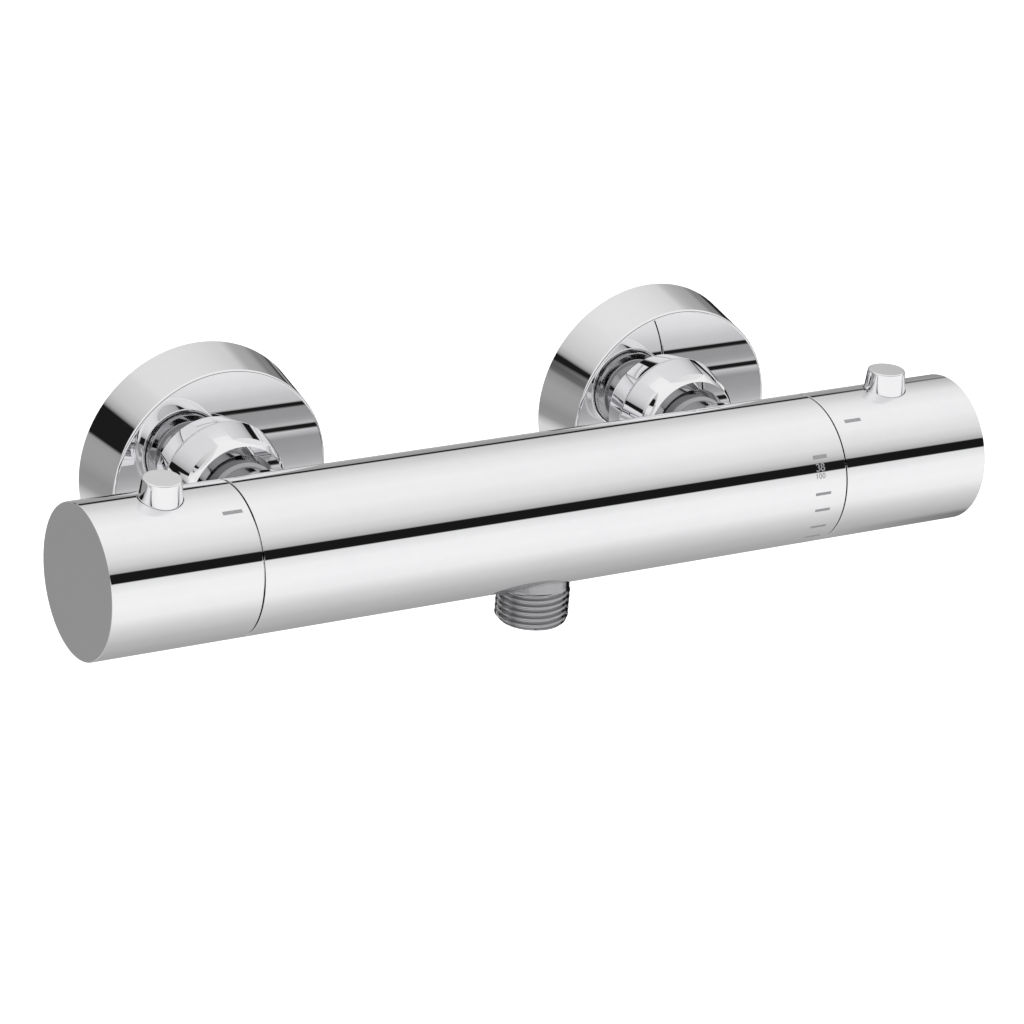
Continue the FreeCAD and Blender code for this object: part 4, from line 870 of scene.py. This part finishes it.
class VALVE_OT_marks(bpy.types.Operator):
    """Index bars on the handles, and the temperature scale on the body"""
    bl_idname = "valve.marks"
    bl_label = "Marks"

    def execute(self, context):
        size, mark = context.scene.bar_sizes, context.scene.mark_sizes
        for name, body, first, last, turned_to in (
                ("flow_index", "flow_knob", -105.6, -99.8, mark.flow_index),
                ("temperature_index", "temperature_knob", 93.9, 99.5, mark.temperature_index)):
            shell = Shell()
            self.bar_mark(shell, size, mark, first * MM, last * MM, turned_to, mark.height)
            shell.piece(name, body, "printed_mark")
        shell = Shell()
        turned_to, first, last = COMFORT_MARK
        self.bar_mark(shell, size, mark, first * MM, last * MM, math.radians(turned_to), mark.height)
        for text, (turned_to, first), height, width in (
                ("38", CELSIUS_MARK, mark.digit, mark.stroke),
                ("100", FAHRENHEIT_MARK, mark.small_digit, mark.stroke * 0.75)):
            self.number(shell, size, mark, text, first * MM, math.radians(turned_to), height, width)
        for turned_to, first, last in TICKS:
            self.bar_mark(shell, size, mark, first * MM, last * MM, math.radians(turned_to), mark.tick_height)
        shell.piece("temperature_scale", "valve", "printed_mark")
        return {"FINISHED"}

    def bar_mark(self, shell, size, mark, first, last, turned_to, height):
        """A straight stroke along the bar."""
        self.stroke(shell, size, mark, np.array(((first, turned_to * size.radius),
                                                 (last, turned_to * size.radius))), height / 2)

    def number(self, shell, size, mark, text, first, turned_to, height, width):
        """Digits side by side, read along the bar, their feet and heads round it."""
        for count, digit in enumerate(text):
            for across, up, half_across, half_up, begin, finish in DIGITS[digit]:
                angle = np.radians(np.linspace(begin, finish, 33))
                read_along = (count * DIGIT_SPACING + across + half_across * np.cos(angle)) * height
                round_bar = (up - 0.5 + half_up * np.sin(angle)) * height
                path = np.stack((first + read_along, turned_to * size.radius + round_bar), axis=1)
                self.stroke(shell, size, mark, path, width / 2)

    def stroke(self, shell, size, mark, path, half_width):
        """A raised ribbon along a path on the unrolled bar. Its cross-section is a flat top between
        two short sides, carried along the path's normals and rolled onto the bar's cylinder."""
        along = np.gradient(path, axis=0)
        along /= np.linalg.norm(along, axis=1)[:, None]
        normal = np.stack((-along[:, 1], along[:, 0]), axis=1)
        across = np.concatenate(((-1,), np.linspace(-1, 1, 7), (1,)))
        out = np.full(len(across), size.radius + mark.lift)
        out[[0, -1]] = size.radius - mark.lift
        spread = path[:, None, :] + across[None, :, None] * half_width * normal[:, None, :]
        shell.capped_rows(about_bar(spread[..., 0], out, spread[..., 1] / size.radius))


# ------------------------------------------------------------------ finishes

def put(tree, kind, inputs=(), **settings):
    """A node with its settings, and its inputs set to values or linked to other nodes' sockets."""
    node = tree.nodes.new(kind)
    for name, value in settings.items():
        setattr(node, name, value)
    for socket, value in dict(inputs).items():
        if isinstance(value, bpy.types.NodeSocket):
            tree.links.new(value, node.inputs[socket])
        else:
            node.inputs[socket].default_value = value
    return node


def times(tree, first, second):
    """Product of two values."""
    return put(tree, "ShaderNodeMath", {0: first, 1: second}, operation="MULTIPLY").outputs[0]


def noise(tree, where, scale, detail, roughness=0.5):
    """Noise over the surface, as a value."""
    return put(tree, "ShaderNodeTexNoise", {"Vector": where, "Scale": scale, "Detail": detail,
                                            "Roughness": roughness}).outputs[0]


def group(name, inputs, outputs):
    """An empty shader group with its sockets, and its input and output nodes."""
    tree = bpy.data.node_groups.new(name, "ShaderNodeTree")
    for socket, kind, value in inputs:
        made = tree.interface.new_socket(socket, in_out="INPUT", socket_type=kind)
        if value is not None:
            made.default_value = value
    for socket, kind in outputs:
        tree.interface.new_socket(socket, in_out="OUTPUT", socket_type=kind)
    return tree, tree.nodes.new("NodeGroupInput"), tree.nodes.new("NodeGroupOutput")


def handling_haze():
    """Broad soft patches, as hands and drying water leave them: two sizes of noise multiplied."""
    tree, given, result = group("Handling haze", (("Size", "NodeSocketFloat", 30.0),
                                                  ("Amount", "NodeSocketFloat", 0.5)),
                                (("Mask", "NodeSocketFloat"),))
    where = put(tree, "ShaderNodeTexCoord").outputs["Object"]
    size = given.outputs["Size"]
    both = times(tree, noise(tree, where, size, 2.0), noise(tree, where, times(tree, size, 7.0), 4.0, 0.6))
    spread = put(tree, "ShaderNodeMapRange", {"Value": both, "From Min": 0.18, "From Max": 0.36})
    tree.links.new(times(tree, spread.outputs["Result"], given.outputs["Amount"]), result.inputs["Mask"])
    return tree


def surface_grain():
    """Fine even grain of moulded and lapped surfaces, as a height and a tone."""
    tree, given, result = group("Surface grain", (("Scale", "NodeSocketFloat", 2500.0),
                                                  ("Contrast", "NodeSocketFloat", 0.4)),
                                (("Height", "NodeSocketFloat"), ("Tone", "NodeSocketFloat")))
    where = put(tree, "ShaderNodeTexCoord").outputs["Object"]
    height = noise(tree, where, given.outputs["Scale"], 3.0, 0.55)
    tree.links.new(height, result.inputs["Height"])
    tree.links.new(times(tree, height, given.outputs["Contrast"]), result.inputs["Tone"])
    return tree


def tool_lines():
    """Fine lines that a lathe tool leaves: rings of waves stretched along an axis, broken by noise."""
    tree, given, result = group("Tool lines", (("Spacing", "NodeSocketFloat", 900.0),),
                                (("Height", "NodeSocketFloat"), ("Tone", "NodeSocketFloat")))
    where = put(tree, "ShaderNodeTexCoord").outputs["Object"]
    stretched = put(tree, "ShaderNodeMapping", {"Vector": where, "Scale": (0.05, 1.0, 0.05)})
    height = noise(tree, stretched.outputs[0], given.outputs["Spacing"], 5.0)
    tree.links.new(height, result.inputs["Height"])
    tree.links.new(times(tree, height, noise(tree, where, 60.0, 2.0)), result.inputs["Tone"])
    return tree


def finish_of(name, metallic, **sockets):
    """A material of this name, the CAD's own where it has one, with a new shader whose plain sockets
    are set directly."""
    material = bpy.data.materials.get(name) or bpy.data.materials.new(name)
    material.use_nodes = True
    tree = material.node_tree
    tree.nodes.clear()
    shader = put(tree, "ShaderNodeBsdfPrincipled", {"Metallic": metallic})
    output = put(tree, "ShaderNodeOutputMaterial", {"Surface": shader.outputs[0]})
    output.is_active_output = True
    for socket, value in sockets.items():
        shader.inputs[socket.replace("_", " ")].default_value = value
    return tree, shader


def mixed(tree, mask, low, high):
    """Colour between two, by a mask."""
    mix = put(tree, "ShaderNodeMix", data_type="RGBA")
    tree.links.new(mask, mix.inputs[0])
    mix.inputs[6].default_value = (*low, 1)
    mix.inputs[7].default_value = (*high, 1)
    return mix.outputs[2]


def ranged(tree, mask, low, high):
    """Value between two, by a mask."""
    return put(tree, "ShaderNodeMapRange", {"Value": mask, "To Min": low, "To Max": high}).outputs["Result"]


def bumped(tree, shader, height, distance, strength):
    """Bump of a given depth on the shader's normal."""
    bump = put(tree, "ShaderNodeBump", {"Height": height, "Distance": distance, "Strength": strength})
    tree.links.new(bump.outputs["Normal"], shader.inputs["Normal"])


def worn(tree, shader, tone, shades, wear, roughness):
    """Let the colour run between two shades by one mask, and the roughness between two values by another."""
    tree.links.new(mixed(tree, tone, *shades), shader.inputs["Base Color"])
    tree.links.new(ranged(tree, wear, *roughness), shader.inputs["Roughness"])


def darker(shade, part):
    return tuple(channel * part for channel in shade)


class VALVE_OT_finishes(bpy.types.Operator):
    """Materials of the chrome, brass, steel, rubber, plastic, ceramic and print"""
    bl_idname = "valve.finishes"
    bl_label = "Finishes"

    def execute(self, context):
        finish = context.scene.finishes
        haze, grain, lines = handling_haze(), surface_grain(), tool_lines()

        tree, shader = finish_of("polished_chrome", 1.0)
        mask = put(tree, "ShaderNodeGroup", node_tree=haze)
        mask.inputs["Size"].default_value = 34.0
        mask.inputs["Amount"].default_value = finish.haze
        worn(tree, shader, mask.outputs["Mask"], (finish.chrome, finish.chrome_worn),
             mask.outputs["Mask"], (0.004, 0.012))

        # The satin chrome's dark colour is painted shade for the necks and the outlet nipple. Its extra
        # roughness is the real unpolished thread.
        for name, shade, rough, strength in (("brass", finish.brass, 0.24, 0.25),
                                             ("steel", finish.steel, 0.2, 0.25),
                                             ("satin_chrome", finish.satin_and_shade, 0.06, 0.05)):
            tree, shader = finish_of(name, 1.0)
            marks = put(tree, "ShaderNodeGroup", node_tree=lines)
            mask = put(tree, "ShaderNodeGroup", node_tree=haze)
            worn(tree, shader, marks.outputs["Tone"], (shade, darker(shade, 0.72)),
                 mask.outputs["Mask"], (rough, rough + 0.14))
            bumped(tree, shader, marks.outputs["Height"], 0.00001, strength)

        for name, shade, rough, scale, depth in (("rubber", finish.rubber, 0.62, 1800.0, 0.00003),
                                                 ("plastic", finish.plastic, 0.42, 2600.0, 0.00001),
                                                 ("ceramic", finish.ceramic, 0.16, 3200.0, 0.000004),
                                                 ("printed_mark", finish.mark, 0.45, 4000.0, 0.000002)):
            tree, shader = finish_of(name, 0.0)
            texture = put(tree, "ShaderNodeGroup", node_tree=grain)
            texture.inputs["Scale"].default_value = scale
            tone = texture.outputs["Tone"]
            worn(tree, shader, tone, (shade, darker(shade, 0.7)), tone, (rough, rough + 0.12))
            bumped(tree, shader, texture.outputs["Height"], depth, 0.3)

        for part in frame["record"]["subparts"]:
            node = frame["nodes"][part["node"]]
            material = bpy.data.materials[part["material_slot"]]
            if not node.material_slots:
                node.data.materials.append(material)
            for slot in node.material_slots:
                slot.material = material
        return {"FINISHED"}


# ------------------------------------------------------------------ studio

class VALVE_OT_studio(bpy.types.Operator):
    """Pale floor, soft lamps, the pale room that chrome reflects, and the camera"""
    bl_idname = "valve.studio"
    bl_label = "Studio"

    def execute(self, context):
        setting = context.scene.studio
        context.scene.view_settings.view_transform = "Standard"
        context.scene.cycles.blur_glossy = 0.0
        self.room(context.scene, setting)
        self.floor(setting)
        for name, where, across, share in (("key_lamp", (-0.9, -1.1, 1.5), 1.4, 1.0),
                                           ("fill_lamp", (1.4, -0.7, 1.0), 1.2, 0.55),
                                           ("back_lamp", (0.2, 1.4, 1.4), 1.6, 0.6)):
            self.lamp(name, where, across, setting.lamp * share)
        self.camera(context.scene, setting)
        return {"FINISHED"}

    def room(self, scene, setting):
        """Camera rays see white. Glossy rays see the studio's walls: their brightness follows the
        angle round the bar's direction, with a dark flag in front and a dark edge at the back."""
        world = bpy.data.worlds.new("pale_studio")
        scene.world = world
        world.use_nodes = True
        tree = world.node_tree
        tree.nodes.clear()
        ray = put(tree, "ShaderNodeLightPath")
        heading_of = put(tree, "ShaderNodeTexCoord").outputs["Generated"]
        direction = put(tree, "ShaderNodeSeparateXYZ", {0: heading_of})
        ahead = times(tree, direction.outputs["Y"], -1.0)
        around = put(tree, "ShaderNodeMath", {0: direction.outputs["Z"], 1: ahead}, operation="ARCTAN2")
        share = put(tree, "ShaderNodeMapRange", {"Value": around.outputs[0], "From Min": -math.pi,
                                                 "From Max": math.pi})
        middle, left, far_left, right = (
            self.walls(tree, share.outputs["Result"], levels)
            for levels in (MIDDLE_WALLS, LEFT_WALLS, FAR_LEFT_WALLS, RIGHT_WALLS))
        for side, near, far in ((left, -0.3, -0.39), (far_left, -0.76, -0.79), (right, 0.56, 0.61)):
            reach = put(tree, "ShaderNodeMapRange", {"Value": direction.outputs["X"], "From Min": near,
                                                     "From Max": far})
            middle = put(tree, "ShaderNodeMix", {0: reach.outputs["Result"], 6: middle, 7: side},
                         data_type="RGBA").outputs[2]
        seen = put(tree, "ShaderNodeMath", {0: ray.outputs["Is Camera Ray"],
                                            1: ray.outputs["Is Transmission Ray"]}, operation="MAXIMUM")
        plain = put(tree, "ShaderNodeMix", {0: ray.outputs["Is Glossy Ray"]}, data_type="RGBA")
        plain.inputs[6].default_value = (setting.surround,) * 3 + (1,)
        tree.links.new(middle, plain.inputs[7])
        shown = put(tree, "ShaderNodeMix", {0: seen.outputs[0]}, data_type="RGBA")
        tree.links.new(plain.outputs[2], shown.inputs[6])
        shown.inputs[7].default_value = (1, 1, 1, 1)
        background = put(tree, "ShaderNodeBackground", {"Color": shown.outputs[2], "Strength": 1.0})
        output = put(tree, "ShaderNodeOutputWorld")
        tree.links.new(background.outputs[0], output.inputs["Surface"])

    def walls(self, tree, share, levels):
        """Grey by the angle round the bar, straight between the levels given."""
        ramp = put(tree, "ShaderNodeValToRGB", {0: share})
        stops = ramp.color_ramp.elements
        stops.remove(stops[-1])
        for number, (angle, level) in enumerate(levels):
            stop = stops[0] if number == 0 else stops.new((angle + 180) / 360)
            stop.color = (level, level, level, 1)
        return ramp.outputs["Color"]

    def floor(self, setting):
        """A plain pale floor: one face. Camera rays get a little light added, so that it's white."""
        half = 6.0
        mesh = bpy.data.meshes.new("floor")
        mesh.from_pydata([(-half, -half, setting.floor), (half, -half, setting.floor),
                          (half, half, setting.floor), (-half, half, setting.floor)], [], [(0, 1, 2, 3)])
        floor = bpy.data.objects.new("floor", mesh)
        bpy.context.scene.collection.objects.link(floor)
        floor.visible_glossy = False
        tree, shader = finish_of("pale_floor", 0.0, Roughness=0.9)
        ray = put(tree, "ShaderNodeLightPath")
        patches = noise(tree, put(tree, "ShaderNodeTexCoord").outputs["Object"], 3.0, 2.0)
        tree.links.new(mixed(tree, patches, (0.86, 0.86, 0.86), (0.9, 0.9, 0.9)), shader.inputs["Base Color"])
        shader.inputs["Emission Color"].default_value = (1, 1, 1, 1)
        tree.links.new(times(tree, ray.outputs["Is Camera Ray"], 0.45), shader.inputs["Emission Strength"])
        mesh.materials.append(bpy.data.materials["pale_floor"])

    def lamp(self, name, where, across, power):
        """A square soft lamp aimed at the bar, which chrome doesn't show."""
        data = bpy.data.lights.new(name, "AREA")
        data.energy = power
        data.size = across
        lamp = bpy.data.objects.new(name, data)
        lamp.location = where
        lamp.rotation_euler = (-Vector(where)).to_track_quat("-Z", "Y").to_euler()
        lamp.visible_glossy = False
        lamp.visible_camera = False
        bpy.context.scene.collection.objects.link(lamp)

    def camera(self, scene, setting):
        """Camera turned by yaw, pitch and roll: forward is (sin yaw cos pitch, cos yaw cos pitch,
        sin pitch), and the picture's right and up turn about it by the roll."""
        yaw, pitch, roll = setting.camera_yaw, setting.camera_pitch, setting.camera_roll
        forward = Vector((math.sin(yaw) * math.cos(pitch), math.cos(yaw) * math.cos(pitch), math.sin(pitch)))
        level = Vector((math.cos(yaw), -math.sin(yaw), 0))
        upright = level.cross(forward)
        right = math.cos(roll) * level + math.sin(roll) * upright
        up = math.cos(roll) * upright - math.sin(roll) * level
        turned_to = Matrix((right, up, -forward)).transposed().to_4x4()
        data = bpy.data.cameras.new("camera")
        data.lens = setting.lens
        data.sensor_width = 36
        camera = bpy.data.objects.new("camera", data)
        camera.matrix_world = Matrix.Translation(setting.camera_place) @ turned_to
        scene.collection.objects.link(camera)
        scene.camera = camera


# ------------------------------------------------------------------ add-on

class VALVE_PT_panel(bpy.types.Panel):
    """Sizes, colours and build steps of the bar valve"""
    bl_idname = "VALVE_PT_panel"
    bl_label = "Bar valve"
    bl_space_type = "VIEW_3D"
    bl_region_type = "UI"
    bl_category = "Bar valve"

    def draw(self, context):
        for step in STEPS:
            self.layout.operator(step.bl_idname)
        for name, kind in GROUPS:
            box = self.layout.box()
            for size in kind.__annotations__:
                box.prop(getattr(context.scene, name), size)


STEPS = (VALVE_OT_finishes, VALVE_OT_bar_body, VALVE_OT_handles, VALVE_OT_buttons, VALVE_OT_springs,
         VALVE_OT_wall_parts, VALVE_OT_outlet, VALVE_OT_marks, VALVE_OT_studio)
CLASSES = tuple(kind for _, kind in GROUPS) + STEPS + (VALVE_PT_panel,)


def register():
    for kind in CLASSES:
        bpy.utils.register_class(kind)
    for name, kind in GROUPS:
        setattr(bpy.types.Scene, name, PointerProperty(type=kind))


def unregister():
    for name, _ in GROUPS:
        delattr(bpy.types.Scene, name)
    for kind in reversed(CLASSES):
        bpy.utils.unregister_class(kind)


def main():
    register()
    bpy.ops.valve.finishes()
    bpy.ops.valve.bar_body()
    bpy.ops.valve.handles()
    bpy.ops.valve.buttons()
    bpy.ops.valve.springs()
    bpy.ops.valve.wall_parts()
    bpy.ops.valve.outlet()
    bpy.ops.valve.marks()
    bpy.ops.valve.studio()


if __name__ == "__main__":
    main()
